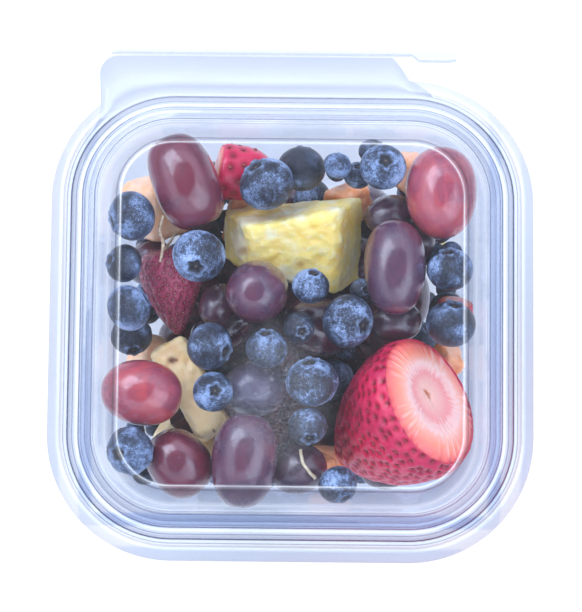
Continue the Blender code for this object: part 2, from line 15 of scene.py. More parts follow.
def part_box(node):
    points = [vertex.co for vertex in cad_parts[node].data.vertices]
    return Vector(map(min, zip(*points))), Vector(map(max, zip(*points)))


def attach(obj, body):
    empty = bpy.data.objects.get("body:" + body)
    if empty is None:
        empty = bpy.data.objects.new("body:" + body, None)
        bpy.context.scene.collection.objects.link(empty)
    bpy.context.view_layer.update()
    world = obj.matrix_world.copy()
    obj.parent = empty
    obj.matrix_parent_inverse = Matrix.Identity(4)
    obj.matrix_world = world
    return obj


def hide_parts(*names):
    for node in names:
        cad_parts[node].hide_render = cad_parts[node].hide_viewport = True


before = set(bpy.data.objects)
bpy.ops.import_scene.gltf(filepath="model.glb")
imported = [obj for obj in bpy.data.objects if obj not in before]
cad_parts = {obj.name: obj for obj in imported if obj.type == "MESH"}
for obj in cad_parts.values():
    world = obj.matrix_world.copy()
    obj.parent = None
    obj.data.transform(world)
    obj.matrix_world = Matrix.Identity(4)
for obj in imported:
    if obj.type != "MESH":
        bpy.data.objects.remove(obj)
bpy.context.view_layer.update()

MM = 0.001

# ---- container, as on the solids -----------------------------------------------------------------------------------------
SHEET = 0.6
GAP = 0.3
FLANGE_Z = 50.0
CORNER = 30.4
SMALL_RADIUS = 9.0
RIM = 62.8
LID_EDGE = 58.4
BEAD = 54.3
BAND = 50.6
WINDOW = 44.4
WINDOW_Z = 9.2
MOUTH = 49.6
SHOULDER_DROP = 8.5
FOOT = 38.5
SKIRT_DROP = 3.6
UPSTAND = 1.7
FLAP_FAR = 68.2
FLAP_LEFT = -50.5
FLAP_RIGHT_ROOT, FLAP_RIGHT_TIP = 30.2, 25.8
FLAP_ROUND = 5.0
STRIP_WIDTH = 1.4
TAIL_WIDTH = 2.9
TAIL_END = 42.4
PLAN = 0.2595
PLAN_X, PLAN_Y = 291.5, 318.0

# Blueberries: crown's lean from straight up, the way it leans, bloom, mottling, wrinkles, tint (0 navy, 1 light blue).
BERRY = {
    1: (58, 125, 0.38, 0.80, 0.0, 0.30),
    2: (75, 200, 0.46, 0.70, 0.1, 0.45),
    3: (60, 170, 0.28, 0.40, 0.0, 0.30),
    4: (38, -100, 0.60, 0.95, 0.0, 0.60),
    5: (80, 30, 0.52, 0.50, 0.2, 0.35),
    6: (65, -80, 0.30, 0.60, 0.6, 0.20),
    7: (52, 78, 0.52, 0.90, 0.0, 0.50),
    8: (30, -60, 0.22, 0.80, 0.0, 0.20),
    9: (50, -20, 0.32, 0.90, 0.2, 0.30),
    10: (62, -20, 0.36, 0.70, 0.1, 0.25),
    11: (55, 95, 0.32, 0.70, 0.1, 0.45),
    12: (10, 0, 0.46, 0.70, 0.3, 0.65),
    13: (60, 100, 0.40, 0.95, 0.2, 0.50),
    14: (50, -80, 0.25, 0.75, 0.2, 0.25),
    15: (70, -60, 0.46, 0.90, 0.2, 0.60),
    16: (35, 200, 0.55, 0.60, 1.0, 0.60),
    17: (110, 90, 0.18, 0.30, 0.0, 0.10),
    18: (70, 60, 0.60, 0.60, 0.8, 0.65),
    19: (12, 60, 0.55, 0.80, 0.3, 0.60),
    20: (40, 90, 0.25, 0.60, 0.0, 0.30),
    21: (60, 100, 0.40, 0.70, 0.0, 0.50),
    22: (60, 80, 0.30, 0.50, 0.0, 0.40),
    23: (20, 0, 0.20, 0.50, 0.0, 0.20),
}
BERRY_RADIUS = (28.5, 26, 20, 27.3, 24, 22, 19.3, 16.5, 27, 24.5, 21.8, 20.8, 27.5, 20.5, 20, 24.5, 26, 14.5, 24, 15, 24, 26, 13.5)
# Grapes: half length, half width, turn in plan, dip, pressed flat by, skin (name in SKINS).
GRAPE = {
    1: (52, 35, -67, 5, 0.5, "wine"),
    2: (37, 32, 60, 68, 0.6, "mauve"),
    3: (48.5, 31, 90, 6, 0.7, "mauve"),
    4: (27, 22, 10, 10, 0.0, "dusk"),
    5: (47, 36, 90, 4, 0.4, "rose"),
    6: (41.5, 33, -5, 5, 0.4, "red"),
    7: (38, 33, -50, 15, 0.3, "wine"),
    8: (48, 33, 85, -8, 0.5, "mauve"),
    9: (30, 25, 15, 10, 0.0, "dusk"),
    10: (27, 21, 5, 5, 0.0, "dusk"),
    11: (18, 14, 80, 10, 0.0, "dusk"),
    12: (36, 28, 10, 10, 0.3, "fogged"),
    13: (24, 20, 70, 30, 0.0, "dusk"),
}
STRAWBERRY = {
    "strawberry_cut": (71, 57, 152, 205, 48, 0),
    "strawberry_whole": (32, 28, 86, 277, 14, 0),
    "strawberry_half": (29, 28, 58, 350, 10, 0),
    "strawberry_bit": (18, 15, 44, 262, 30, 0),
}
SKEW = 0.07
CHUNK = {
    "pineapple_01": (58, 46, 28, 178, -24, 0, 0.46),
    "pineapple_02": (57, 22, 26, -60, 0, 0, 0.06),
    "melon_01": (22, 12, 22, 80, 10, 0, 0.06),
    "melon_02": (17, 17, 19, 35, 35, 30, 0.08),
    "melon_03": (15, 17, 19, 10, 35, 30, 0.08),
    "melon_04": (30, 28, 28, 25, 30, 30, 0.08),
    "melon_05": (17, 17, 19, 15, 35, 30, 0.08),
    "melon_06": (13, 13, 16, -20, 35, 30, 0.08),
    "melon_07": (13, 13, 17, 30, 35, 30, 0.08),
}


# ---- node trees ------------------------------------------------------------------------------------------------------------
class Tree:
    """Short calls for building a material's or the world's nodes."""

    def __init__(self, owner):
        owner.use_nodes = True
        self.tree = owner.node_tree
        self.tree.nodes.clear()

    def node(self, kind, props=None, **inputs):
        n = self.tree.nodes.new("ShaderNode" + kind)
        for k, v in (props or {}).items():
            setattr(n, k, v)
        for k, v in inputs.items():
            self.put(n.inputs[int(k[1:]) if k[0] == "_" else k.replace("_", " ")], v)
        return n

    def put(self, socket, value):
        if isinstance(value, bpy.types.NodeSocket):
            self.tree.links.new(value, socket)
        elif isinstance(value, tuple) and len(value) == 3 and socket.type == "RGBA":
            socket.default_value = (*value, 1.0)
        else:
            socket.default_value = value

    def math(self, op, a, b=0.0, clamp=False):
        return self.node("Math", {"operation": op, "use_clamp": clamp}, _0=a, _1=b).outputs[0]

    def mix(self, factor, a, b):
        return self.node("Mix", {"data_type": "RGBA"}, _0=factor, _6=a, _7=b).outputs[2]

    def ramp(self, factor, *stops, smooth=True):
        n = self.node("ValToRGB", _0=factor)
        if smooth:
            n.color_ramp.interpolation = "EASE"
        r = n.color_ramp.elements
        while len(r) < len(stops):
            r.new(0.5)
        for e, (p, c) in zip(r, stops, strict=True):
            e.position = p
            e.color = (*c, 1.0) if isinstance(c, tuple) else (c, c, c, 1.0)
        return n.outputs[0]

    def span(self, value, a, b, c=0.0, d=1.0):
        return self.node("MapRange", {"interpolation_type": "SMOOTHSTEP"}, _0=value, _1=a, _2=b, _3=c, _4=d).outputs[0]

    def own(self, scale=None, shift=(0, 0, 0)):
        """The piece's own coordinates, in millimetres."""
        at = self.node("Attribute", {"attribute_name": "own"}).outputs["Vector"]
        if scale is None and shift == (0, 0, 0):
            return at
        return self.node("Mapping", Vector=at, Location=shift, Scale=scale or (1, 1, 1)).outputs[0]

    def mark(self, name="mark"):
        return self.node("Attribute", {"attribute_name": name}).outputs["Fac"]

    def noise(self, vector, scale, detail=4.0, rough=0.6, distort=0.0):
        return self.node("TexNoise", Vector=vector, Scale=scale, Detail=detail, Roughness=rough, Distortion=distort).outputs[0]

    def bump(self, height, strength, distance):
        return self.node("Bump", Height=height, Strength=strength, Distance=distance).outputs[0]

    def out(self, shader):
        self.tree.links.new(shader, self.node("OutputMaterial").inputs[0])


def skin_material(name, base, rough, bump=None, coat=0.0, coat_rough=0.1, coat_ior=1.5, specular=0.5, sub=0.0, radius=(1.0, 0.3, 0.2), reach=0.003, build=None):
    mat = bpy.data.materials.new(name)
    t = Tree(mat)
    if build:
        base, rough, bump = build(t)
    b = t.node("BsdfPrincipled")
    t.put(b.inputs["Base Color"], base)
    t.put(b.inputs["Roughness"], rough)
    b.inputs["Specular IOR Level"].default_value = specular
    b.inputs["Coat Weight"].default_value = coat
    b.inputs["Coat Roughness"].default_value = coat_rough
    b.inputs["Coat IOR"].default_value = coat_ior
    b.inputs["Subsurface Weight"].default_value = sub
    b.inputs["Subsurface Radius"].default_value = radius
    b.inputs["Subsurface Scale"].default_value = reach
    if bump is not None:
        t.put(b.inputs["Normal"], bump)
    t.out(b.outputs[0])
    return mat


def berry_material(name, bloom, mottle, wrinkle, tint, shift):
    def build(t):
        at = t.own(shift=(shift, shift * 0.7, 0))
        broad = t.noise(at, 0.17, 3, 0.5, 0.3)
        middle = t.noise(at, 0.80, 7, 0.78, 0.25)
        fine = t.noise(at, 3.2, 4, 0.80)
        scratch = t.noise(t.own((0.26, 1.9, 1.9), (shift, 0, 3)), 1.3, 5, 0.75, 0.4)
        b = t.math("ADD", bloom - 0.06, t.math("MULTIPLY", t.math("SUBTRACT", broad, 0.5), 2.3))
        b = t.math("ADD", b, t.math("MULTIPLY", t.math("SUBTRACT", middle, 0.5), 2.6 * mottle))
        b = t.math("ADD", b, t.math("MULTIPLY", t.math("SUBTRACT", fine, 0.5), 1.7 * mottle), clamp=True)
        light = tuple(a + (c - a) * tint for a, c in zip((0.178, 0.250, 0.430), (0.240, 0.372, 0.650), strict=True))
        mid = tuple(a + (c - a) * tint for a, c in zip((0.034, 0.048, 0.088), (0.052, 0.083, 0.165), strict=True))
        dark = (0.008, 0.011, 0.026)
        colour = t.ramp(b, (0.04, dark), (0.34, mid), (0.72, light), (1.0, (0.38, 0.50, 0.76)))
        colour = t.mix(t.math("MULTIPLY", t.span(scratch, 0.58, 0.70), 0.50), colour, (0.40, 0.50, 0.72))
        crown = t.mark()
        colour = t.mix(t.span(crown, 0.04, 0.4), colour, (0.010, 0.009, 0.018))
        colour = t.mix(t.span(crown, 0.75, 1.0), colour, (0.125, 0.090, 0.065))
        ragged = t.math("MULTIPLY", t.mark("rim"), t.span(fine, 0.35, 0.6, 0.35, 1.0))
        colour = t.mix(t.math("MULTIPLY", ragged, 0.8), colour, tuple(min(1.0, 1.5 * c + 0.03) for c in light))
        rough = t.math("ADD", t.math("MULTIPLY", b, 0.30), 0.28)
        height = t.math("ADD", t.math("MULTIPLY", fine, 0.4), t.math("MULTIPLY", middle, 1.2))
        return colour, rough, t.bump(height, 0.45 + 0.2 * wrinkle, 0.0006)

    return skin_material(name, None, None, specular=0.5, build=build)


SKINS = {  # base, second base, speckle
    "wine": ((0.165, 0.018, 0.042), (0.105, 0.017, 0.042), 0.16),
    "mauve": ((0.110, 0.028, 0.062), (0.072, 0.026, 0.064), 0.38),
    "rose": ((0.430, 0.070, 0.095), (0.300, 0.050, 0.095), 0.10),
    "red": ((0.420, 0.055, 0.072), (0.270, 0.042, 0.080), 0.12),
    "dusk": ((0.070, 0.022, 0.044), (0.046, 0.020, 0.046), 0.34),
    "deep": ((0.085, 0.012, 0.032), (0.036, 0.013, 0.036), 0.18),
    "fogged": ((0.075, 0.050, 0.110), (0.060, 0.052, 0.120), 0.60),
}


def grape_material(name, skin, shift):
    a, c, speckle = SKINS[skin]

    def build(t):
        at = t.own(shift=(shift, 0, shift * 0.6))
        broad = t.noise(at, 0.11, 3, 0.55, 0.6)
        streak = t.noise(t.own((0.35, 1.3, 1.3), (shift, 0, 0)), 0.45, 4, 0.6)
        fine = t.noise(at, 2.6, 4, 0.75)
        colour = t.mix(t.span(broad, 0.35, 0.65), a, c)
        colour = t.mix(t.math("MULTIPLY", t.span(streak, 0.48, 0.75), 0.35), colour, tuple(min(1.0, 1.5 * v + 0.02) for v in a))
        colour = t.mix(t.math("MULTIPLY", t.span(fine, 0.52, 0.78), speckle), colour, (0.30, 0.22, 0.38))
        colour = t.mix(t.math("MULTIPLY", t.mark(), 0.8), colour, (0.13, 0.085, 0.05))
        rough = t.math("ADD", t.math("MULTIPLY", t.span(broad, 0.3, 0.7), 0.10), 0.20)
        return colour, rough, t.bump(t.math("ADD", streak, t.math("MULTIPLY", fine, 0.35)), 0.16, 0.0006)

    return skin_material(name, None, None, coat=1.0, coat_rough={"mauve": 0.20, "fogged": 0.34, "dusk": 0.26}.get(skin, 0.13), coat_ior=1.62, specular=0.4, sub=0.2, radius=(1.0, 0.22, 0.2), reach=0.0025, build=build)


def strawberry_skin(name, dull):
    def build(t):
        at = t.own()
        broad = t.noise(at, 0.07, 3, 0.5)
        fine = t.noise(at, 1.3, 4, 0.65)
        bright = tuple(a + (c - a) * dull for a, c in zip((0.66, 0.006, 0.060), (0.22, 0.018, 0.066), strict=True))
        deep = tuple(a + (c - a) * dull for a, c in zip((0.42, 0.003, 0.055), (0.13, 0.012, 0.048), strict=True))
        colour = t.mix(t.span(broad, 0.36, 0.66), bright, deep)
        # painted highlight: the raised lips round the dimples (the mark deep) are lightened to a pink ridge colour
        ridge = tuple(a + (c - a) * dull for a, c in zip((0.74, 0.030, 0.13), (0.42, 0.11, 0.20), strict=True))
        colour = t.mix(t.math("MULTIPLY", t.mark("deep"), 0.55), colour, ridge)
        # painted shade: the dimples (the mark) are darkened towards a deep red
        colour = t.mix(t.math("MULTIPLY", t.span(t.mark(), 0.25, 0.95), 0.75), colour, (0.22 - 0.13 * dull, 0.003, 0.026))
        colour = t.mix(t.math("MULTIPLY", t.span(fine, 0.55, 0.85), 0.22), colour, (0.82, 0.25, 0.34))
        return colour, 0.28, t.bump(t.math("ADD", broad, t.math("MULTIPLY", fine, 0.6)), 0.30, 0.0006)

    return skin_material(name, None, None, coat=0.32, coat_rough=0.10, specular=0.4, sub=0.12, radius=(1.0, 0.25, 0.2), reach=0.0022, build=build)


def achene_material(name, a, b):
    def build(t):
        f = t.noise(t.own(), 0.30, 3, 0.7)
        return t.mix(t.span(f, 0.48, 0.62), a, b), 0.4, None

    return skin_material(name, None, None, specular=0.5, build=build)


def cut_face_material():
    """The cut through the strawberry: rays in a red-orange outer band, a pale ring, a pink heart and a small hollow."""

    def build(t):
        rho = t.mark("rho")
        ray = t.noise(t.own(), 0.55, 4, 0.6, 0.3)
        spoke = t.mark("spoke")
        edge = t.math("ADD", rho, t.math("MULTIPLY", t.math("SUBTRACT", ray, 0.5), 0.20))
        edge = t.math("ADD", edge, t.math("MULTIPLY", t.math("SUBTRACT", spoke, 0.5), 0.10))
        colour = t.ramp(
            edge,
            (0.00, (0.78, 0.42, 0.35)),
            (0.13, (0.79, 0.45, 0.40)),
            (0.27, (0.79, 0.38, 0.36)),
            (0.38, (0.79, 0.28, 0.28)),
            (0.46, (0.81, 0.43, 0.42)),
            (0.57, (0.83, 0.54, 0.52)),
            (0.66, (0.84, 0.38, 0.31)),
            (0.76, (0.90, 0.27, 0.18)),
            (0.90, (0.88, 0.16, 0.14)),
            (1.0, (0.62, 0.014, 0.055)),
            smooth=False,
        )
        band = t.math("MULTIPLY", t.span(rho, 0.50, 0.68), t.span(rho, 0.99, 0.80))
        colour = t.mix(t.math("MULTIPLY", band, t.span(spoke, 0.50, 0.95, 0.0, 0.70)), colour, (0.88, 0.50, 0.42))
        colour = t.mix(t.math("MULTIPLY", t.span(ray, 0.45, 0.75), 0.16), colour, (0.92, 0.66, 0.64))
        colour = t.mix(t.span(t.mark("hollow"), 0.25, 0.75), colour, (0.50, 0.13, 0.05))
        return colour, 0.34, t.bump(t.math("ADD", t.math("MULTIPLY", spoke, 0.6), ray), 0.3, 0.0005)

    return skin_material("strawberry_flesh", None, None, coat=0.35, coat_rough=0.2, specular=0.5, sub=0.35, radius=(1.0, 0.45, 0.35), reach=0.003, build=build)


def pineapple_material(name, tan):
    def build(t):
        grain = t.noise(t.own((0.85, 1.0, 1.0)), 0.42, 7, 0.66, 0.5)
        patch = t.noise(t.own((1, 1, 1), (3, 1, 0)), 0.10, 3, 0.5, 0.3)
        cells = t.noise(t.own(), 2.2, 3, 0.6)
        if tan:
            colour = t.ramp(patch, (0.2, (0.90, 0.54, 0.20)), (0.5, (0.98, 0.72, 0.40)), (0.8, (0.98, 0.80, 0.54)))
            colour = t.mix(t.math("MULTIPLY", t.span(grain, 0.52, 0.72), 0.45), colour, (0.88, 0.74, 0.52))
            colour = t.mix(t.mark("eye"), colour, (0.20, 0.055, 0.025))
        else:
            colour = t.ramp(patch, (0.30, (0.97, 0.66, 0.12)), (0.48, (0.98, 0.77, 0.25)), (0.66, (0.99, 0.90, 0.62)))
            colour = t.mix(t.math("MULTIPLY", t.span(grain, 0.50, 0.68), 0.50), colour, (1.0, 0.95, 0.72))
            colour = t.mix(t.math("MULTIPLY", t.span(grain, 0.46, 0.32), 0.42), colour, (0.97, 0.62, 0.08))
            colour = t.mix(t.math("MULTIPLY", t.mark("eye"), 0.75), colour, (0.60, 0.36, 0.13))
        colour = t.mix(t.math("MULTIPLY", t.span(cells, 0.60, 0.80), 0.35), colour, (0.97, 0.92, 0.72))
        return colour, 0.36, t.bump(t.math("ADD", grain, t.math("MULTIPLY", cells, 0.7)), 0.40, 0.0006)

    return skin_material(name, None, None, coat=0.25, coat_rough=0.15, specular=0.5, sub=0.5, radius=(1.0, 0.75, 0.35), reach=0.0045, build=build)


def melon_material(name, warm):
    def build(t):
        grain = t.noise(t.own((0.5, 1, 1)), 0.8, 5, 0.65, 0.4)
        patch = t.noise(t.own(), 0.16, 3, 0.5)
        pale, rich = ((0.92, 0.50, 0.34), (0.92, 0.34, 0.10)) if warm else ((0.90, 0.62, 0.44), (0.90, 0.48, 0.24))
        colour = t.mix(t.span(patch, 0.3, 0.7), pale, rich)
        colour = t.mix(t.math("MULTIPLY", t.span(grain, 0.5, 0.75), 0.4), colour, (0.94, 0.74, 0.56))
        return colour, 0.34, t.bump(grain, 0.35, 0.0006)

    return skin_material(name, None, None, coat=0.3, coat_rough=0.15, specular=0.5, sub=0.3, radius=(1.0, 0.5, 0.25), reach=0.003, build=build)


def clear_material(name, haze=0.05, fog=False, tint=(0.912, 0.940, 0.995)):
    """Thin clear plastic: it lets light through with a faint blue tint, deeper where seen edge-on, with a gloss on it
    and a little haze. Its creases show as white lines of painted highlight and as grey-blue lines of painted shade, the
    latter turning crimson at the front right as a painted reflection of the red fruit. The rim's deeper tint grows
    towards the front right as painted shade, and the haze on the steep wall is tinted peach as a painted reflection of
    the fruit."""
    mat = bpy.data.materials.new(name)
    t = Tree(mat)
    at = t.node("TexCoord").outputs["Object"]
    facing = t.node("LayerWeight", Blend=0.5).outputs["Facing"]
    edge = t.span(facing, 0.50, 1.0)
    crease_highlight, shade = t.mark("crease_highlight"), t.mark("shade")
    colour = t.mix(edge, tint, (0.80, 0.86, 0.985))
    place = t.node("SeparateXYZ", _0=at)
    out = t.math("MAXIMUM", t.math("ABSOLUTE", place.outputs[0]), t.math("MULTIPLY", place.outputs[1], -1.0))
    band = t.math("MULTIPLY", t.math("MULTIPLY", t.span(out, 0.0500, 0.0515), t.span(out, 0.0545, 0.0535)), 0.85)
    out = t.math("MAXIMUM", t.span(out, 0.0585, 0.0600), band)
    # the outer rim and the band inside the bead take a deeper tint of the plastic; its growth from the back left to the
    # front right is painted shade
    front = t.span(t.math("SUBTRACT", place.outputs[1], t.math("MULTIPLY", place.outputs[0], 0.5)), 0.060, -0.050, 0.35, 1.0)
    colour = t.mix(t.math("MULTIPLY", out, front), colour, tuple(a * c for a, c in zip(tint, (0.862, 0.898, 0.965), strict=True)))
    # painted shade: dark grey-blue lines along the creases, fainter along the back edge
    shade = t.math("MULTIPLY", shade, t.span(place.outputs[1], 0.0500, 0.0530, 1.0, 0.62))
    # painted reflection: towards the front right, with some noise, the crease lines turn crimson for the red fruit
    # mirrored in the plastic
    warm = t.span(t.math("SUBTRACT", place.outputs[0], place.outputs[1]), 0.045, 0.085)
    warm = t.math("ADD", t.math("MULTIPLY", warm, 0.8), t.math("MULTIPLY", t.span(t.noise(at, 30, 2, 0.5), 0.52, 0.70), 0.25), True)
    colour = t.mix(t.math("MULTIPLY", shade, 0.92, True), colour, t.mix(warm, (0.10, 0.12, 0.24), (0.30, 0.05, 0.15)))
    through = t.node("BsdfTransparent", Color=colour)
    wave = t.noise(at, 45, 3, 0.5)
    bump = t.bump(wave, 0.05, 0.004)
    gloss = t.node("BsdfGlossy", Color=(0.95, 0.97, 1.0), Roughness=0.045, Normal=bump)
    grazing = t.math("MULTIPLY", t.math("POWER", facing, 4.0), 0.36)
    reflect = t.math("ADD", grazing, 0.024)
    below = t.span(place.outputs[2], 0.0500, 0.0470)
    # painted reflection: below the flange the haze of the steep wall is tinted peach by noise, standing in for the
    # fruit mirrored in it
    painted_fruit_reflection = t.math("MULTIPLY", t.math("MULTIPLY", edge, below), t.span(t.noise(at, 38, 2, 0.5), 0.40, 0.60, 0.15, 0.75))
    milk = t.node("BsdfDiffuse", Color=t.mix(painted_fruit_reflection, (0.82, 0.89, 1.0), (0.98, 0.70, 0.60)))
    speck = t.noise(at, 380, 5, 0.7)
    amount = t.math("ADD", t.math("MULTIPLY", t.span(speck, 0.35, 0.75), haze * 0.8), haze * 0.6)
    amount = t.math("ADD", amount, t.math("MULTIPLY", edge, 0.055))
    if fog:
        x = t.math("DIVIDE", t.math("SUBTRACT", place.outputs[0], -0.0035), 0.0165)
        y = t.math("DIVIDE", t.math("SUBTRACT", place.outputs[1], -0.0215), 0.0230)
        r = t.math("SQRT", t.math("ADD", t.math("MULTIPLY", x, x), t.math("MULTIPLY", y, y)))
        r = t.math("ADD", r, t.math("MULTIPLY", t.math("SUBTRACT", t.noise(at, 120, 4, 0.6), 0.5), 0.9))
        mist = t.math("MULTIPLY", t.span(r, 1.0, 0.45), t.span(t.noise(at, 1500, 3, 0.7), 0.40, 0.66, 0.25, 1.0))
        amount = t.math("ADD", amount, t.math("MULTIPLY", mist, 0.042))
    streak = t.span(t.noise(at, 55, 3, 0.6), 0.30, 0.62, 0.55, 1.0)
    # painted highlight: white lines along the creases, added as haze where the crease mark is set, broken up by streak
    # noise
    amount = t.math("ADD", amount, t.math("MULTIPLY", t.math("MULTIPLY", crease_highlight, 0.60), streak), True)
    body = t.node("MixShader", _0=amount, _1=through.outputs[0], _2=milk.outputs[0]).outputs[0]
    body = t.node("MixShader", _0=reflect, _1=body, _2=gloss.outputs[0]).outputs[0]
    light = t.node("BsdfTransparent", Color=(0.97, 0.975, 0.99)).outputs[0]
    path = t.node("LightPath")
    soft = t.math("MAXIMUM", path.outputs["Is Shadow Ray"], path.outputs["Is Diffuse Ray"])
    t.out(t.node("MixShader", _0=soft, _1=body, _2=light).outputs[0])
    return mat


# ---- mesh helpers ------------------------------------------------------------------------------------------------------------
def make(name, verts, faces, mats, own=None, marks=None, faces_mat=None, matrix=None, flat=None):
    """An object from points in millimetres; own is each point's own coordinates and marks are named masks."""
    mesh = bpy.data.meshes.new(name)
    verts = np.asarray(verts, float)
    mesh.from_pydata((verts * MM).tolist(), [], [tuple(f) for f in faces])
    for m in mats if isinstance(mats, (list, tuple)) else [mats]:
        mesh.materials.append(m)
    a = mesh.attributes.new("own", "FLOAT_VECTOR", "POINT")
    a.data.foreach_set("vector", np.asarray(verts if own is None else own, np.float32).ravel())
    for key, values in (marks or {}).items():
        a = mesh.attributes.new(key, "FLOAT", "POINT")
        a.data.foreach_set("value", np.asarray(values, np.float32).ravel())
    if faces_mat is not None:
        mesh.polygons.foreach_set("material_index", np.asarray(faces_mat, np.int32))
    mesh.shade_smooth()
    if flat:
        mesh.set_sharp_from_angle(angle=math.radians(flat))
    obj = bpy.data.objects.new(name, mesh)
    bpy.context.scene.collection.objects.link(obj)
    if matrix is not None:
        obj.matrix_world = matrix
    return obj


def ball(rows, segments, power=1.0):
    """Unit directions with poles on Z, and quads; rows crowd towards the upper pole when power is over 1."""
    polar = math.pi * (np.arange(1, rows) / rows) ** power
    around = 2 * math.pi * np.arange(segments) / segments
    ring = np.stack([np.outer(np.sin(polar), np.cos(around)), np.outer(np.sin(polar), np.sin(around)), np.outer(np.cos(polar), np.ones(segments))], -1)
    verts = np.concatenate([[[0, 0, 1.0]], ring.reshape(-1, 3), [[0, 0, -1.0]]])
    return verts, lathe_faces(rows - 1, segments)


def lathe_faces(rings, segments):
    faces = [(0, 1 + i, 1 + (i + 1) % segments) for i in range(segments)]
    for row in range(rings - 1):
        a = 1 + row * segments
        faces += [(a + i, a + segments + i, a + segments + (i + 1) % segments, a + (i + 1) % segments) for i in range(segments)]
    a = 1 + (rings - 1) * segments
    faces += [(a + i, 1 + rings * segments, a + (i + 1) % segments) for i in range(segments)]
    return faces


def rough_field(points, size, seed, octaves=3):
    """Smooth noise at every point, about -1 to 1; size is the width of its features in the points' unit."""
    s = Vector((seed * 7.31, seed * 3.17, seed * 5.93))
    return np.array([noise.fractal(Vector(p) / size + s, 1.0, 2.0, octaves) for p in points.tolist()])


def step(a, b, x):
    t = np.clip((x - a) / (b - a), 0, 1)
    return t * t * (3 - 2 * t)


def along(turn, dip, roll=0.0):
    return Euler((0, 0, math.radians(turn))).to_matrix() @ Euler((0, math.radians(dip), 0)).to_matrix() @ Euler((math.radians(roll), 0, 0)).to_matrix()


def fit(points, turn, node, whole=1.0):
    """The matrix that puts points, in millimetres, turned by turn, over the node, with its top at the node's own top,
    and the scale for them."""
    r = np.array(turn)
    q = points @ r.T
    lo, hi = (np.array(p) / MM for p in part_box(node))
    scale = float(np.mean((hi - lo)[:2] / (q.max(0) - q.min(0))[:2])) * whole
    middle = (lo + hi) / 2 - scale * (q.max(0) + q.min(0)) / 2
    middle[2] = hi[2] - scale * q[:, 2].max()
    m = Matrix.Translation(Vector(middle * MM)) @ turn.to_4x4()
    return m, scale


def place(name, points, faces, mats, turn, node, slot, own=None, marks=None, faces_mat=None, flat=None, whole=1.0):
    matrix, scale = fit(points, turn, node, whole)
    obj = make(name, points * scale, faces, mats, points * scale if own is None else own, marks, faces_mat, matrix, flat)
    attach(obj, "root")
    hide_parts(node)
    return obj


# How strong the painted highlight (white) and the painted shade (grey) are at each crease of the two profiles, and how
# round (radius) it is, by the corner's number.
LID_CREASES = {
    2: (0.66, 0.0, 0.21),
    3: (0.06, 0.75, 0.32),
    4: (0.60, 0.0, 0.40),
    5: (0.75, 0.0, 0.30),
    6: (0.0, 0.85, 0.24),
    7: (0.0, 0.35, 0.30),
    8: (0.0, 1.0, 0.40),
    9: (0.90, 0.0, 0.45),
    10: (0.0, 0.50, 0.16),
    11: (0.0, 1.0, 0.20),
    12: (0.35, 0.0, 0.25),
    13: (0.0, 0.45, 0.1),
}
TRAY_CREASES = {9: (0.15, 0.0, 0.5), 11: (0.0, 0.55, 0.4), 12: (0.35, 0.0, 0.4), 13: (0.0, 0.60, 0.3), 14: (0.3, 0.0, 0.3)}


# ---- the clear container --------------------------------------------------------------------------------------------------------
def corner_centre(r):
    return min(CORNER, r - SMALL_RADIUS) if r > SMALL_RADIUS else 0.0


def stations():
    out = [("arc", 0, a) for a in (*np.linspace(0, 68, 18), 70, 74, 78, 80, 85, 90)]
    out += [("side", s, 0) for s in (0.93, 0.855, 0.3, -0.3)]
    out += [("arc", 1, a) for a in (90, 94.5, 99, 103, 107, 109, 111, 113, 115, 117, 119, 121, 123, 128.3, 134, 138, 142, *np.linspace(146, 180, 10))]
    out += [("arc", 2, a) for a in np.linspace(180, 270, 25)]
    out += [("arc", 3, a) for a in np.linspace(270, 360, 25)]
    return out


def ring_point(r, station):
    k = corner_centre(r)
    if station[0] == "side":
        x, y = station[1] * k, r
        for _ in range(station[2]):
            x, y = -y, x
        return x, y
    a = math.radians(station[2])
    sx = 1 if station[1] in (0, 3) else -1
    sy = 1 if station[1] in (0, 1) else -1
    return sx * k + (r - k) * math.cos(a), sy * k + (r - k) * math.sin(a)


def flap_share(station, root):
    x, y = ring_point(RIM, station)
    if station[0] == "side":
        if station[1] > 0.9:
            return 1.0, ((FLAP_RIGHT_ROOT + FLAP_RIGHT_TIP) / 2, (RIM + FLAP_FAR) / 2)
        return 1.0, (min(x, FLAP_RIGHT_TIP), FLAP_FAR)
    if station[1] == 1 and station[2] < 128:
        turn = (station[2] - 107) / (123 - 107)
        if turn <= 0:
            return 1.0, (x, FLAP_FAR)
        quarter = math.radians(90 + 90 * min(turn, 1))
        cx, cy = FLAP_LEFT + FLAP_ROUND, FLAP_FAR - FLAP_ROUND
        return 1.0, (cx + FLAP_ROUND * math.cos(quarter), cy + FLAP_ROUND * math.sin(quarter))
    if root < RIM:
        if station[1] == 1 and station[2] < 142:
            share = 1.0 if station[2] < 130 else (0.28 if station[2] < 136 else 0.08)
            return share, ring_point(RIM - 0.6, station)
        if station[1] == 0 and station[2] >= 80:
            return (1.0 if station[2] == 90 else (0.6 if station[2] > 81 else 0.28)), ring_point(RIM - 0.6, station)
    return 0.0, (x, y)


def upstand_share(station):
    if station[0] == "side":
        return 0.0
    if station[1] == 1:
        return min(max((station[2] - 134) / 14, 0.0), 1.0)
    if station[1] == 0:
        return min(max((76 - station[2]) / 12, 0.0), 1.0)
    return 1.0


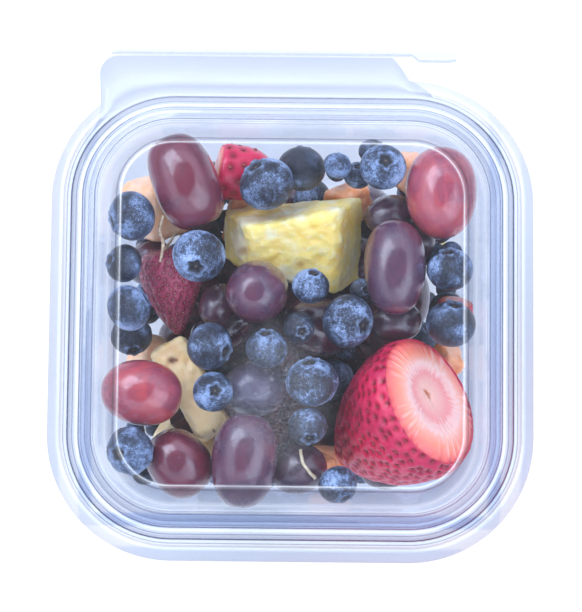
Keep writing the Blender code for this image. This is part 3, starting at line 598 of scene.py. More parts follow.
def rounded(profile, radius, weights=None, parts=3):
    """The profile with every inner corner drawn round; weights gives, at some corners by their number, how strong the
    painted highlight and the painted shade are.
    """
    out, crease_highlight, shade = [profile[0]], [0.0], [0.0]
    for i in range(1, len(profile) - 1):
        p = np.array(profile[i])
        a, b = np.array(profile[i - 1]), np.array(profile[i + 1])
        w = (weights or {}).get(i, (0.0, 0.0, radius))
        ra = min(w[2], 0.45 * np.linalg.norm(p - a))
        rb = min(w[2], 0.45 * np.linalg.norm(p - b))
        u, v = p + (a - p) / np.linalg.norm(p - a) * ra, p + (b - p) / np.linalg.norm(p - b) * rb
        for k in range(parts + 1):
            s = k / parts
            out.append(tuple((1 - s) ** 2 * u + 2 * s * (1 - s) * p + s * s * v))
            peak = math.sin(math.pi * (k + 0.35) / (parts + 0.7))
            crease_highlight.append(w[0] * peak)
            shade.append(w[1] * peak)
    w = (weights or {}).get(len(profile) - 1, (0.0, 0.0, 0.0))
    return out + [profile[-1]], crease_highlight + [w[0]], shade + [w[1]]


def normal(a, b):
    d = (b[0] - a[0], b[1] - a[1])
    length = math.hypot(*d) or 1.0
    return d[1] / length, -d[0] / length


def offset_down(profile, t):
    out = []
    for i, (r, z) in enumerate(profile):
        a, b = profile[max(i - 1, 0)], profile[min(i + 1, len(profile) - 1)]
        n1 = normal(a, (r, z)) if i else None
        n2 = normal((r, z), b) if i < len(profile) - 1 else None
        n1, n2 = n1 or n2, n2 or n1
        s = (n1[0] + n2[0], n1[1] + n2[1])
        length = math.hypot(*s) or 1.0
        s = (s[0] / length, s[1] / length)
        reach = t / max(0.55, s[0] * n1[0] + s[1] * n1[1])
        out.append((r + s[0] * reach, z + s[1] * reach))
    return out


def lid_profile():
    top = GAP / 2 + SHEET
    return rounded(
        [
            (WINDOW - 6.0, WINDOW_Z),
            (WINDOW - 1.4, WINDOW_Z),
            (WINDOW - 0.5, WINDOW_Z),
            (WINDOW + 0.6, WINDOW_Z - 0.35),
            (BAND - 0.6, 4.5),
            (BAND, 4.0),
            (BAND + 0.4, 3.1),
            (BEAD - 0.7, 2.7),
            (BEAD, 2.2),
            (BEAD + 0.5, top),
            (56.0, top),
            (57.2, top),
            (57.8, top),
            (LID_EDGE, top),
        ],
        0.42,
        LID_CREASES,
    )


def tray_profile():
    f = FLANGE_Z
    ledge = f - GAP / 2
    return rounded(
        [
            (28.0, SHEET),
            (30.5, SHEET),
            (31.5, SHEET + 0.9),
            (33.5, SHEET + 0.9),
            (34.5, SHEET),
            (FOOT, SHEET),
            (FOOT + 1.9, SHEET + 0.8),
            (FOOT + 3.0, SHEET + 2.6),
            (MOUTH - 1.9, f - SHOULDER_DROP - 1.0),
            (MOUTH - 0.9, f - SHOULDER_DROP + 0.2),
            (MOUTH, f - 1.2),
            (MOUTH + 0.6, f + 1.2),
            (MOUTH + 1.4, f + 1.75),
            (MOUTH + 3.1, f + 1.45),
            (MOUTH + 3.5, ledge),
            (LID_EDGE + 0.25, ledge),
        ],
        0.5,
        TRAY_CREASES,
    )


def tray_edge(station):
    f = FLANGE_Z
    ledge = f - GAP / 2
    up = upstand_share(station)
    share, far = flap_share(station, RIM)
    top = ledge + (UPSTAND + GAP / 2) * up
    rows = [
        (LID_EDGE + 0.72, ledge + 0.9 * (UPSTAND + GAP / 2) * up),
        (LID_EDGE + 0.95, top),
        (LID_EDGE + 1.6, top),
        (LID_EDGE + 1.95, top - 0.15 * up),
        (RIM - 0.35, f - SKIRT_DROP + 1.1),
        (RIM, f - SKIRT_DROP),
    ]
    out = []
    root = ring_point(LID_EDGE + 0.25, station)
    for i, (r, z) in enumerate(rows):
        x, y = ring_point(r, station)
        t = (i + 1) / len(rows)
        fx, fy = root[0] + (far[0] - root[0]) * t, root[1] + (far[1] - root[1]) * t
        out.append((x + (fx - x) * share, y + (fy - y) * share, z + (ledge - z) * share))
    return out


def sheet_solid(upper, lower):
    n = len(upper[0])
    verts = [p for loop in upper for p in loop] + [p for loop in lower for p in loop]
    rows = len(upper)
    faces = []

    def at(side, row, i):
        return (side * rows + row) * n + i % n

    for row in range(rows - 1):
        for i in range(n):
            faces.append((at(0, row, i), at(0, row + 1, i), at(0, row + 1, i + 1), at(0, row, i + 1)))
            faces.append((at(1, row, i), at(1, row, i + 1), at(1, row + 1, i + 1), at(1, row + 1, i)))
    for i in range(n):
        faces.append((at(0, rows - 1, i), at(1, rows - 1, i), at(1, rows - 1, i + 1), at(0, rows - 1, i + 1)))
    faces.append(tuple(at(0, 0, i) for i in range(n)))
    faces.append(tuple(at(1, 0, i) for i in reversed(range(n))))
    return verts, faces


def crease_marks(crease_highlight, shade, n):
    """The painted highlight and painted shade masks of both skins of a sheet, the lower one fainter."""
    return {
        "crease_highlight": np.repeat(np.concatenate([crease_highlight, 0.5 * np.array(crease_highlight)]), n),
        "shade": np.repeat(np.concatenate([shade, 0.6 * np.array(shade)]), n),
    }


def build_tray(mat):
    places = stations()
    inner, crease_highlight, shade = tray_profile()
    under = offset_down(inner, SHEET)
    upper = [[(*ring_point(r, s), z) for s in places] for r, z in inner]
    lower = [[(*ring_point(r, s), z) for s in places] for r, z in under]
    edges = [tray_edge(s) for s in places]
    rows = len(edges[0])
    # painted highlight and painted shade along the rows of the tray's edge
    crease_highlight, shade = crease_highlight + [0, 0.35, 0.12, 0, 0, 0], shade + [0.25, 0, 0, 0.10, 0.16, 0.22]
    for row in range(rows):
        upper.append([e[row] for e in edges])
    inward = (0.30, 0.25, -0.05, -0.35, -0.45, -0.45)
    for row in range(rows):
        loop = []
        for s, e in zip(places, edges, strict=True):
            x, y, z = e[row]
            if flap_share(s, RIM)[0] == 0:
                r = (LID_EDGE + 0.72, LID_EDGE + 0.95, LID_EDGE + 1.6, LID_EDGE + 1.95, RIM - 0.35, RIM)[row] + inward[row]
                loop.append((*ring_point(r, s), z - SHEET * (0.95 if row < 4 else 0.30)))
            else:
                loop.append((x, y, z - SHEET))
        lower.append(loop)
    verts, faces = sheet_solid(upper, lower)
    obj = make("tray_clear", verts, faces, mat, marks=crease_marks(crease_highlight, shade, len(places)), flat=50)
    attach(obj, "root")
    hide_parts("tray")
    return obj


def build_lid(mat):
    places = stations()
    top, crease_highlight, shade = lid_profile()
    under = offset_down(top, SHEET)
    f = FLANGE_Z
    upper = [[(*ring_point(r, s), f + z) for s in places] for r, z in top]
    lower = [[(*ring_point(r, s), f + z) for s in places] for r, z in under]
    shares = [flap_share(s, LID_EDGE) for s in places]
    for stack, z in ((upper, f + GAP / 2 + SHEET), (lower, f + GAP / 2)):
        loop = []
        for s, (share, far) in zip(places, shares, strict=True):
            x, y = ring_point(LID_EDGE + 0.02, s)
            loop.append((x + (far[0] - x) * share, y + (far[1] - y) * share, z))
        stack.append(loop)
    crease_highlight, shade = crease_highlight + [0.0], shade + [0.0]
    marks = crease_marks(crease_highlight, shade, len(places))
    for i, (share, _) in enumerate(shares):  # no painted shade line for a free edge where the sheet runs on into the flap
        if share > 0:
            for side in (0, len(crease_highlight)):
                marks["shade"][(side + len(crease_highlight) - 2) * len(places) + i] *= 1 - share
    verts, faces = sheet_solid(upper, lower)
    obj = make("lid_clear", verts, faces, mat, marks=marks, flat=50)
    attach(obj, "root")
    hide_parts("lid")
    return obj


# ---- fruit -----------------------------------------------------------------------------------------------------------------------
def berry_points(radius, seed, wrinkle=0.0, rows=44, segments=52, lobes=5):
    unit, faces = ball(rows, segments, 1.22)
    x, y, z = unit.T
    rho = np.hypot(x, y)
    phi = np.arctan2(y, x)
    top = z > 0
    star = np.cos(lobes * phi + seed)
    t0 = 0.35 * (1 + 0.15 * star)
    rim = np.where(top, np.exp(-(((rho - t0) / 0.055) ** 2)) * (0.62 + 0.38 * star), 0)
    sink = np.where(top, 1 - step(t0 * 0.62, t0 * 1.02, rho), 0)
    nub = np.where(top, np.exp(-((rho / 0.06) ** 2)), 0)
    scar = np.where(~top, np.exp(-((rho / 0.13) ** 2)), 0)
    p = unit * np.array([1.0, 1.0, 0.9])
    grow = 1 + 0.022 * rough_field(p, 1.1, seed, 2) + 0.006 * rough_field(p, 0.25, seed + 3, 2)
    if wrinkle:
        fold = 1 - np.abs(rough_field(p * np.array([1.6, 1.6, 0.8]), 0.75, seed + 5, 3)) * 2.2
        grow = grow + wrinkle * (0.050 * np.clip(fold, 0, 1) ** 2 - 0.028)
    grow = grow + 0.085 * rim - 0.135 * sink + 0.03 * nub - 0.05 * scar
    p = p * grow[:, None] * radius
    crown = np.where(top, (1 - step(t0 * 0.70, t0 * 1.0, rho)) * (0.55 + 0.45 * np.exp(-((rho / 0.10) ** 2))), 0)
    return p, faces, {"mark": crown, "rim": np.clip(rim, 0, 1)}


def grape_points(a, b, turn, pressed, seed, rows=40, segments=44, square=2.12):
    unit, faces = ball(rows, segments)
    x, y, z = unit.T
    blunt = 1 + 0.04 * z
    rho = np.hypot(x, y)
    wide = np.maximum(1 - np.abs(z) ** square, 0) ** (1 / square) / np.maximum(rho, 1e-6)
    tall = np.where(rho > 0, rho**0.92 / np.maximum(rho, 1e-9), 1.0)
    p = np.stack([z * a, x * wide * blunt * b, y * tall * blunt * b], -1)
    end = np.exp(-(((1 - z) / 0.012) ** 2))
    p[:, 0] -= 0.035 * a * end
    lump = 1 + 0.014 * rough_field(p, b * 1.1, seed, 2)
    p = p * lump[:, None]
    if pressed:
        r = np.array(turn)
        q = p @ r.T
        limit = q[:, 2].max() - pressed
        q[:, 2] = np.where(q[:, 2] > limit, limit + 0.30 * (q[:, 2] - limit), q[:, 2])
        p = q @ r
    return p, faces, {"mark": np.exp(-(((1 - z) / 0.006) ** 2))}


def body_profile(whole, blunt=False):
    """Width along the strawberry, from the thick end to the tip."""
    if whole:
        share = [(-0.02, 0.0), (-0.04, 0.45), (0.0, 0.80), (0.12, 1.0), (0.30, 1.0), (0.50, 0.86), (0.70, 0.62), (0.88, 0.34), (0.97, 0.15), (1.0, 0.0)]
    elif blunt:
        share = [(0.0, 0.94), (0.10, 1.02), (0.26, 1.03), (0.44, 1.02), (0.62, 0.97), (0.78, 0.86), (0.90, 0.66), (0.97, 0.38), (1.0, 0.0)]
    else:
        share = [(0.0, 0.94), (0.10, 1.02), (0.26, 1.0), (0.44, 0.90), (0.62, 0.74), (0.78, 0.53), (0.92, 0.28), (0.98, 0.13), (1.0, 0.0)]
    u = np.linspace(0, 1, len(share))
    return u, np.array(share)


def smooth_curve(u, pts, at):
    """Catmull-Rom through pts."""
    out = []
    n = len(pts)
    for s in at:
        k = min(int(s * (n - 1)), n - 2)
        t = s * (n - 1) - k
        p0, p1, p2, p3 = pts[max(k - 1, 0)], pts[k], pts[k + 1], pts[min(k + 2, n - 1)]
        out.append(0.5 * (2 * p1 + (p2 - p0) * t + (2 * p0 - 5 * p1 + 4 * p2 - p3) * t**2 + (3 * p1 - p0 - 3 * p2 + p3) * t**3))
    return np.array(out)


def strawberry(name, spacing, rows, segments, dull, skin, seeds, flesh, seed, depth=0.5):
    half_a, half_b, length, way, dip, roll = STRAWBERRY[name]
    half_a, half_b, length = half_a * PLAN, half_b * PLAN, length * PLAN
    whole = name.endswith("whole")
    turn = along(way, dip, roll)
    u, pts = body_profile(whole, name.endswith("half"))
    line = smooth_curve(u, pts, np.linspace(0, 1, rows + 1))
    line[:, 1] = np.maximum(line[:, 1], 0)
    around = 2 * math.pi * np.arange(segments) / segments
    skew = 0.0 if whole else SKEW

    def on_body(s, w, phi):
        return np.stack([s * length, w * half_a * np.cos(phi) + skew * s * length, w * half_b * np.sin(phi)], -1)

    # the dimples' places: rings of even spacing, every other ring turned by half a step
    arc = np.concatenate([[0], np.cumsum(np.hypot(np.diff(line[:, 0]) * length, np.diff(line[:, 1]) * (half_a + half_b) / 2))])
    spots = []
    ring = 0
    d = spacing * 0.55
    rng = np.random.default_rng(seed)
    while d < arc[-1] - 0.6:
        s = np.interp(d, arc, line[:, 0])
        w = np.interp(d, arc, line[:, 1])
        around_len = math.pi * w * (half_a + half_b)
        count = max(int(round(around_len / (spacing * 1.08))), 1)
        for k in range(count):
            phi = 2 * math.pi * (k + 0.5 * (ring % 2) + rng.uniform(-0.27, 0.27)) / count
            spots.append((s + rng.uniform(-0.22, 0.22) * spacing / length, w, phi))
        d += spacing * 0.86
        ring += 1
    spots = np.array(spots)
    spot_at = on_body(spots[:, 0], spots[:, 1], spots[:, 2])

    inner = line[1:-1]
    s = np.repeat(inner[:, 0], segments)
    w = np.repeat(inner[:, 1], segments)
    phi = np.tile(around, len(inner))
    p = on_body(s, w, phi)
    lump = 1 + 0.022 * rough_field(p, half_b * 0.9, seed, 2)
    p[:, 1:] *= lump[:, None]
    spot_at[:, 1:] *= (1 + 0.022 * rough_field(spot_at, half_b * 0.9, seed, 2))[:, None]
    out = np.stack([0.25 * np.ones(len(p)), np.cos(phi), np.sin(phi)], -1)
    out /= np.linalg.norm(out, axis=1)[:, None]
    near = np.full(len(p), 1e9)
    for q in spot_at:
        near = np.minimum(near, ((p - q) ** 2).sum(1))
    near = np.sqrt(near)
    dent = np.exp(-((near / (0.33 * spacing)) ** 2))
    lip = np.exp(-(((near - 0.60 * spacing) / (0.20 * spacing)) ** 2))
    p = p - out * (depth * dent - 0.16 * depth * lip)[:, None]
    first = [line[0][0] * length, 0, 0] if whole else [0.0, 0, 0]
    tip = [length, skew * length, 0]
    verts = [first]
    # mark holds the dimples, painted darker as shade in the skin, and deep the lips round them, painted lighter as
    # highlight
    marks = {"mark": [0.0], "deep": [0.0], "rho": [0.0], "spoke": [0.5], "hollow": [0.0]}
    faces_mat = []
    faces = []
    if whole:
        verts = np.concatenate([[first], p, [tip]])
        marks["mark"] += dent.tolist() + [0.0]
        marks["deep"] += lip.tolist() + [0.0]
        for k in ("rho", "spoke", "hollow"):
            marks[k] += [0.0] * (len(p) + 1)
        faces = lathe_faces(len(inner), segments)
        faces_mat = [0] * len(faces)
    else:
        # the cut face: rings from its middle out to the first body ring, gently domed and ridged
        cut_rings = 26
        cut = []
        heart = np.linalg.solve(np.array(turn)[:2, 1:3], (-1.48, 1.76))
        spokes = 0.5 + 0.5 * np.sin(34 * around + 2.2 * np.sin(3 * around + seed) + 1.4 * np.sin(7 * around)) * (0.55 + 0.45 * np.sin(5 * around + 1.0))
        for k in range(1, cut_rings + 1):
            rho = (k / cut_rings) ** 0.85
            dome = -0.030 * length * (1 - rho**2) - 0.020 * length * np.exp(-(((rho - 0.62) / 0.22) ** 2))
            hole = np.exp(-((rho / (0.075 * (1 + 0.45 * np.cos(2 * around + 0.8) + 0.25 * np.cos(5 * around)))) ** 2)) if rho < 0.3 else 0.0
            ridge = (spokes - 0.5) * 0.35 * step(0.55, 0.9, rho)
            rim = 0.6 * step(0.90, 1.0, rho)
            wide = line[0][1] * rho * (1 + 0.035 * (spokes - 0.5) * rho**3)
            x = dome - ridge + rim + 0.9 * hole * (0.6 + 0.4 * np.cos(around - 0.6))
            shift = heart * (math.exp(-((rho / 0.42) ** 2)) if name.endswith("cut") else 0.0)
            cut.append(np.stack([x * np.ones(segments), wide * half_a * np.cos(around) + shift[0], wide * half_b * np.sin(around) + shift[1]], -1))
            marks["rho"] += [rho] * segments
            marks["spoke"] += spokes.tolist()
            marks["hollow"] += (hole * (0.80 + 0.20 * np.cos(around - 0.6))).tolist() if rho < 0.3 else [0.0] * segments
            marks["mark"] += [0.0] * segments
            marks["deep"] += [0.0] * segments
        cut = np.concatenate(cut)
        middle_at = heart if name.endswith("cut") else (0.0, 0.0)
        verts = np.concatenate([[[0.6 - 0.03 * length, middle_at[0], middle_at[1]]], cut, p, [tip]])
        marks["hollow"][0] = 0.9
        marks["rho"] += [1.0] * (len(p) + 1)
        marks["spoke"] += [0.5] * (len(p) + 1)
        marks["hollow"] += [0.0] * (len(p) + 1)
        marks["mark"] += dent.tolist() + [0.0]
        marks["deep"] += lip.tolist() + [0.0]
        faces = lathe_faces(cut_rings + len(inner), segments)
        in_face = segments + (cut_rings - 1) * segments
        faces_mat = [2] * in_face + [0] * (len(faces) - in_face)
    # the seeds, one small pointed drop in every dimple
    drop, drop_faces = ball(6, 8)
    n = len(verts)
    extra = []
    extra_faces = []
    for q, (ss, ww, ph) in zip(spot_at, spots, strict=True):
        nrm = np.array([0.25, math.cos(ph), math.sin(ph)])
        nrm /= np.linalg.norm(nrm)
        tang = np.array([1.0, 0, 0]) - nrm * nrm[0]
        tang /= np.linalg.norm(tang)
        side = np.cross(nrm, tang)
        size = spacing * rng.uniform(0.11, 0.17)
        shape = drop.copy()
        shape[:, 0] *= 1 - 0.25 * shape[:, 2]
        local = (shape[:, 2:3] * tang * size + shape[:, 0:1] * side * size * 0.62 + shape[:, 1:2] * nrm * size * 0.45)
        centre = q - nrm * depth * 0.74
        base = n + sum(len(e) for e in extra)
        extra.append(centre + local)
        extra_faces += [tuple(i + base for i in f) for f in drop_faces]
    verts = np.concatenate([verts, *extra])
    more = len(verts) - n
    for k in marks:
        marks[k] += [0.0] * more
    faces_mat += [1] * len(extra_faces)
    faces = faces + extra_faces
    return place(name + "_look", verts, faces, [skin, seeds, flesh or skin], turn, name, "strawberry", marks=marks, faces_mat=faces_mat)


def chunk_points(hx, hy, hz, taper, seed, cells=16, rim=0.16, lump=0.25):
    """A knife-cut block with soft edges and a fibrous, slightly hollowed surface."""
    grid = np.linspace(-1, 1, cells + 1)
    index = {}
    verts = []
    faces = []

    def vertex(p):
        key = tuple(np.round(p, 6))
        if key not in index:
            index[key] = len(verts)
            verts.append(p)
        return index[key]

    for axis in range(3):
        for sign in (-1, 1):
            u, v = (axis + 1) % 3, (axis + 2) % 3
            for i in range(cells):
                for j in range(cells):
                    quad = []
                    for a, b in ((i, j), (i + 1, j), (i + 1, j + 1), (i, j + 1)):
                        p = [0.0, 0.0, 0.0]
                        p[axis], p[u], p[v] = sign, grid[a], grid[b]
                        quad.append(vertex(tuple(p)))
                    faces.append(tuple(quad if sign > 0 else reversed(quad)))
    p = np.array(verts)
    half = np.array([hx, hy, hz])
    r = rim * min(hx, hy, hz)
    core = np.clip(p * half, -(half - r), half - r)
    out = p * half - core
    length = np.linalg.norm(out, axis=1)
    q = core + out * (r / np.maximum(length, 1e-9))[:, None]
    n = out / np.maximum(length, 1e-9)[:, None]
    x, y, z = (q / half).T
    narrow = 1.0 - taper * (x + 1) / 2
    q = np.stack([q[:, 0] * (1 - 0.5 * taper * z), q[:, 1] * narrow, q[:, 2] * (1 - 0.4 * taper * y)], -1)
    rough = 0.8 * lump * rough_field(q, 2.2, seed, 3) + 1.2 * lump * rough_field(q, 7.0, seed + 2, 2)
    return q + n * (rough - 0.3 * lump)[:, None], faces


# ---- stacking the unseen heap ----------------------------------------------------------------------------------------------------
CELL = 0.5
HALF = 52.0
AXIS = np.arange(-HALF, HALF + CELL / 2, CELL)
GX, GY = np.meshgrid(AXIS, AXIS, indexing="ij")


def half_width_at(x, y):
    ax, ay = np.abs(x), np.abs(y)
    in_corner = (ax > CORNER) & (ay > CORNER)
    return np.where(in_corner, CORNER + np.hypot(ax - CORNER, ay - CORNER), np.maximum(ax, ay))


def heights(points, tris):
    i0 = max(int((points[:, 0].min() + HALF) / CELL) - 1, 0)
    i1 = min(int((points[:, 0].max() + HALF) / CELL) + 3, len(AXIS))
    j0 = max(int((points[:, 1].min() + HALF) / CELL) - 1, 0)
    j1 = min(int((points[:, 1].max() + HALF) / CELL) + 3, len(AXIS))
    x, y = GX[i0:i1, j0:j1], GY[i0:i1, j0:j1]
    top = np.full(x.shape, -np.inf)
    low = np.full(x.shape, np.inf)
    for a, b, c in tris:
        p, q, r = points[a], points[b], points[c]
        det = (q[0] - p[0]) * (r[1] - p[1]) - (r[0] - p[0]) * (q[1] - p[1])
        if abs(det) < 1e-9:
            continue
        u = ((x - p[0]) * (r[1] - p[1]) - (r[0] - p[0]) * (y - p[1])) / det
        v = ((q[0] - p[0]) * (y - p[1]) - (x - p[0]) * (q[1] - p[1])) / det
        inside = (u >= -1e-6) & (v >= -1e-6) & (u + v <= 1 + 1e-6)
        z = p[2] + u * (q[2] - p[2]) + v * (r[2] - p[2])
        top = np.where(inside, np.maximum(top, z), top)
        low = np.where(inside, np.minimum(low, z), low)
    return (slice(i0, i1), slice(j0, j1)), top, low


def spread(field, pick, cells):
    for _ in range(2):
        wide = np.pad(field, ((cells, cells), (0, 0)), mode="edge")
        width = 1
        while width < 2 * cells + 1:
            more = min(width, 2 * cells + 1 - width)
            wide = pick(wide[:-more], wide[more:])
            width += more
        field = wide.T
    return field


def node_points(name):
    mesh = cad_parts[name].data
    co = np.zeros(len(mesh.vertices) * 3)
    mesh.vertices.foreach_get("co", co)
    mesh.calc_loop_triangles()
    tris = np.zeros(len(mesh.loop_triangles) * 3, np.int64)
    mesh.loop_triangles.foreach_get("vertices", tris)
    return co.reshape(-1, 3) / MM, tris.reshape(-1, 3)


def start_fields():
    """The lid and the shown pieces' undersides above, the tray below, and the shown pieces' tops."""
    r = half_width_at(GX, GY)
    under = offset_down(lid_profile()[0], SHEET)
    ceiling = np.interp(r, [p[0] for p in under], [FLANGE_Z + p[1] for p in under])
    inner = [(0, SHEET), (30.0, SHEET), (31.0, SHEET + 0.9), (34.0, SHEET + 0.9), (FOOT, SHEET + 0.2), (FOOT + 1.9, SHEET + 0.8), (FOOT + 3.0, SHEET + 2.6), (MOUTH - 1.9, FLANGE_Z - SHOULDER_DROP - 1.0), (MOUTH - 0.9, FLANGE_Z - SHOULDER_DROP + 0.2), (MOUTH, FLANGE_Z - 1.2)]
    wall = np.interp(r, [p[0] for p in inner], [p[1] for p in inner])
    wall = np.where(r > MOUTH, FLANGE_Z + 20, wall)
    ceiling, wall = spread(ceiling, np.minimum, 1), spread(wall, np.maximum, 1)
    tops = np.full(GX.shape, -np.inf)
    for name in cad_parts:
        if name in ("tray", "lid", "tear_strip", "fruit_bed"):
            continue
        points, tris = node_points(name)
        window, top, low = heights(points, tris)
        ceiling[window] = np.minimum(ceiling[window], spread(low, np.minimum, 1))
        tops[window] = np.maximum(tops[window], top)
    return ceiling, wall, tops


def coarse_ball(half):
    unit, faces = ball(8, 12)
    tris = [t for f in faces for t in ([f] if len(f) == 3 else [(f[0], f[1], f[2]), (f[0], f[2], f[3])])]
    return unit * half, tris


def coarse_block(half):
    p = np.array([(x, y, z) for x in (-1, 1) for y in (-1, 1) for z in (-1, 1)], float) * 0.90 * half
    quads = [(0, 1, 3, 2), (4, 6, 7, 5), (0, 4, 5, 1), (2, 3, 7, 6), (0, 2, 6, 4), (1, 5, 7, 3)]
    return p, [t for f in quads for t in ((f[0], f[1], f[2]), (f[0], f[2], f[3]))]


# Bits of the heap that the photo shows between the shown pieces: kind, place in the photo, how high they may reach.
SEEN_BELOW = (
    ("melon", 120, 176, 50), ("melon", 270, 152, 50), ("melon", 345, 158, 42), ("melon", 408, 150, 50), ("pineapple", 137, 348, 50), ("pineapple", 200, 450, 50),
    ("pineapple", 214, 486, 49), ("melon", 470, 352, 50), ("melon", 334, 462, 48), ("melon", 400, 484, 44), ("melon", 440, 482, 42), ("melon", 112, 300, 49),
    ("grape", 356, 250, 48), ("grape", 225, 320, 48), ("berry", 450, 262, 50), ("grape", 300, 430, 48), ("grape", 270, 250, 44), ("melon", 260, 487, 49),
    ("pineapple", 178, 424, 50), ("pineapple", 150, 350, 50), ("pineapple", 196, 432, 50), ("berry", 450, 300, 50), ("grape", 318, 322, 48),
    ("grape", 372, 196, 45), ("grape", 330, 190, 46), ("berry", 352, 150, 47), ("grape", 452, 246, 49), ("grape", 442, 302, 49), ("berry", 472, 300, 49),
    ("berry", 312, 186, 48), ("berry", 470, 238, 49), ("grape", 460, 315, 47), ("berry", 300, 140, 49), ("grape", 246, 206, 44), ("berry", 392, 196, 47),
)


def fill_heap(ceiling, wall, rng):
    """Real pieces for the lower heap. First they go up into the gaps left under the shown ones, then others are laid from
    the floor up along the walls until no room is left."""
    middle = ["berry"] * 8 + ["grape"] * 12
    outer = ["berry"] * 9 + ["grape"] * 8 + ["melon"] * 3 + ["pineapple"] * 1
    out = []
    floor = wall.copy()
    ring = half_width_at(GX, GY)
    seen = list(SEEN_BELOW)
    for rising in (False, True):
        for margin, need, shrink in ((6, 9.5, 0.0), (4, 7.0, 0.14), (3, 6.0, 0.22)):
            closed = np.zeros(GX.shape, bool)
            for _ in range(420):
                room = spread(ceiling, np.minimum, margin)
                base = spread(floor, np.maximum, margin)
                free = (room - base > need) & ~closed & (((ring > 20) & (base < 33)) if rising else ((room > 31) & (room < 49)))
                if not free.any():
                    break
                level = -base if rising else room
                spots = np.argwhere(free & (level > level[free].max() - 3.5))
                i, j = spots[rng.integers(len(spots))]
                x, y = GX[i, j], GY[i, j]
                kinds = outer if max(abs(x), abs(y)) > (28 if rising else 35) else middle
                kind = kinds[rng.integers(len(kinds))]
                top_limit = 99.0
                if seen:
                    kind, px, py, top_limit = seen.pop(0)
                    x, y = plan_at(px, py)
                done = False
                for attempt in range(6):
                    size = 1 - 0.14 * (attempt % 3) - shrink
                    if attempt == 3:
                        reach = max(abs(x), abs(y), 1.0)
                        x, y = x - 1.5 * x / reach, y - 1.5 * y / reach
                    if kind == "berry":
                        r = rng.uniform(5.2, 6.9) * size
                        half = np.array([r, r, r * 0.92])
                        turn = Euler((rng.uniform(-1.5, 1.5), rng.uniform(-1.5, 1.5), rng.uniform(0, 6.28))).to_matrix()
                    elif kind == "grape":
                        half = np.array([rng.uniform(9.5, 11.5), rng.uniform(7.0, 8.2), 7.4]) * size
                        half[2] = half[1]
                        turn = along(rng.uniform(0, 360), rng.uniform(-35, 35), 0)
                    else:
                        half = np.array([rng.uniform(5.5, 8.0), rng.uniform(5.5, 7.5), rng.uniform(5.0, 7.0)]) * size
                        turn = Euler((rng.uniform(-0.7, 0.7), rng.uniform(-0.7, 0.7), rng.uniform(0, 6.28))).to_matrix()
                    points, tris = (coarse_ball if kind in ("berry", "grape") else coarse_block)(half)
                    points = points @ np.array(turn).T
                    moved = points + np.array([x, y, 0.0])
                    window, top, low = heights(moved, tris)
                    z_high = float(np.min(ceiling[window] - top)) - 0.15
                    z_low = float(np.max(floor[window] - low)) + 0.10
                    if z_low > z_high:
                        continue
                    if rising:
                        z = z_low
                        if z + half[2] > (36.0 if y < -25 else 41.0):
                            continue
                        filled = np.where(np.isfinite(top), top + z, -np.inf)
                        floor[window] = np.maximum(floor[window], filled)
                    else:
                        z = max(min(z_high, top_limit - half[2]), z_low)
                        if z_high - z_low < 4.0 and top_limit > 90:
                            z = z_low
                        covered = np.where(np.isfinite(low), low + z, np.inf)
                        ceiling[window] = np.minimum(ceiling[window], spread(covered, np.minimum, 1))
                    out.append((kind, half, turn, (x, y, z), len(out)))
                    done = True
                    break
                if not done:
                    closed |= (GX - GX[i, j]) ** 2 + (GY - GY[i, j]) ** 2 < 1.8**2
    return out


def heap_piece(kind, half, turn, at, number, shapes):
    seed = number % 5
    key = (kind, seed)
    if key not in shapes:
        if kind == "berry":
            p, f, m = berry_points(1.0, seed + 31, 0.3 if seed == 2 else 0.0, 20, 24)
            shapes[key] = (p, f, m)
        elif kind == "grape":
            p, f, m = grape_points(1.0, 1.0, Matrix.Identity(3), 0.0, seed + 41, 16, 20)
            shapes[key] = (p, f, m)
        else:
            p, f = chunk_points(7.0, 7.0, 7.0, 0.10, seed + 51, 10, 0.45, 0.5)
            shapes[key] = (p / 7.0, f, {"mark": np.zeros(len(p))})
    p, f, m = shapes[key]
    local = p * half
    world = local @ np.array(turn).T + np.array(at)
    own = local + np.array([number * 17.3 % 211, number * 5.9 % 97, number * 3.1 % 53])
    return world, f, own, m


def build_core():
    """A smaller, darker body inside the heap, uneven like wet fruit pressed together; its dark colour is painted shade
    for the gaps between the pieces.
    """
    points, tris = node_points("fruit_bed")
    low = points[:, 2].min()
    p = points * np.array([0.70, 0.70, 1.0])
    p[:, 2] = low + 3.5 + np.maximum(points[:, 2] - low, 0) * 0.68
    p[points[:, 2] < low + 0.5, 2] = low + 3.5
    mesh = bpy.data.meshes.new("core")
    mesh.from_pydata((p * MM).tolist(), [], tris.tolist())
    bm = bmesh.new()
    bm.from_mesh(mesh)
    bmesh.ops.subdivide_edges(bm, edges=bm.edges[:], cuts=2, use_grid_fill=True)
    q = np.array([v.co for v in bm.verts]) / MM
    n = np.array([v.normal for v in bm.verts])
    q += n * (1.3 * rough_field(q, 7.0, 8, 3))[:, None]
    faces = [tuple(v.index for v in f.verts) for f in bm.faces]
    bm.free()
    bpy.data.meshes.remove(mesh)

    def look(t):
        broad = t.noise(t.own(), 0.14, 4, 0.6)
        fine = t.noise(t.own(), 0.45, 3, 0.5)
        # painted shade: near-black plum and navy tones so that the gaps between the pieces read as shadow
        colour = t.ramp(broad, (0.30, (0.016, 0.018, 0.045)), (0.48, (0.060, 0.014, 0.030)), (0.62, (0.16, 0.022, 0.035)), (0.75, (0.045, 0.030, 0.065)))
        return colour, 0.40, t.bump(fine, 0.3, 0.0008)

    obj = make("heap_core", q, faces, skin_material("core_look", None, None, coat=0.4, specular=0.5, build=look))
    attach(obj, "root")
    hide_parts("fruit_bed")


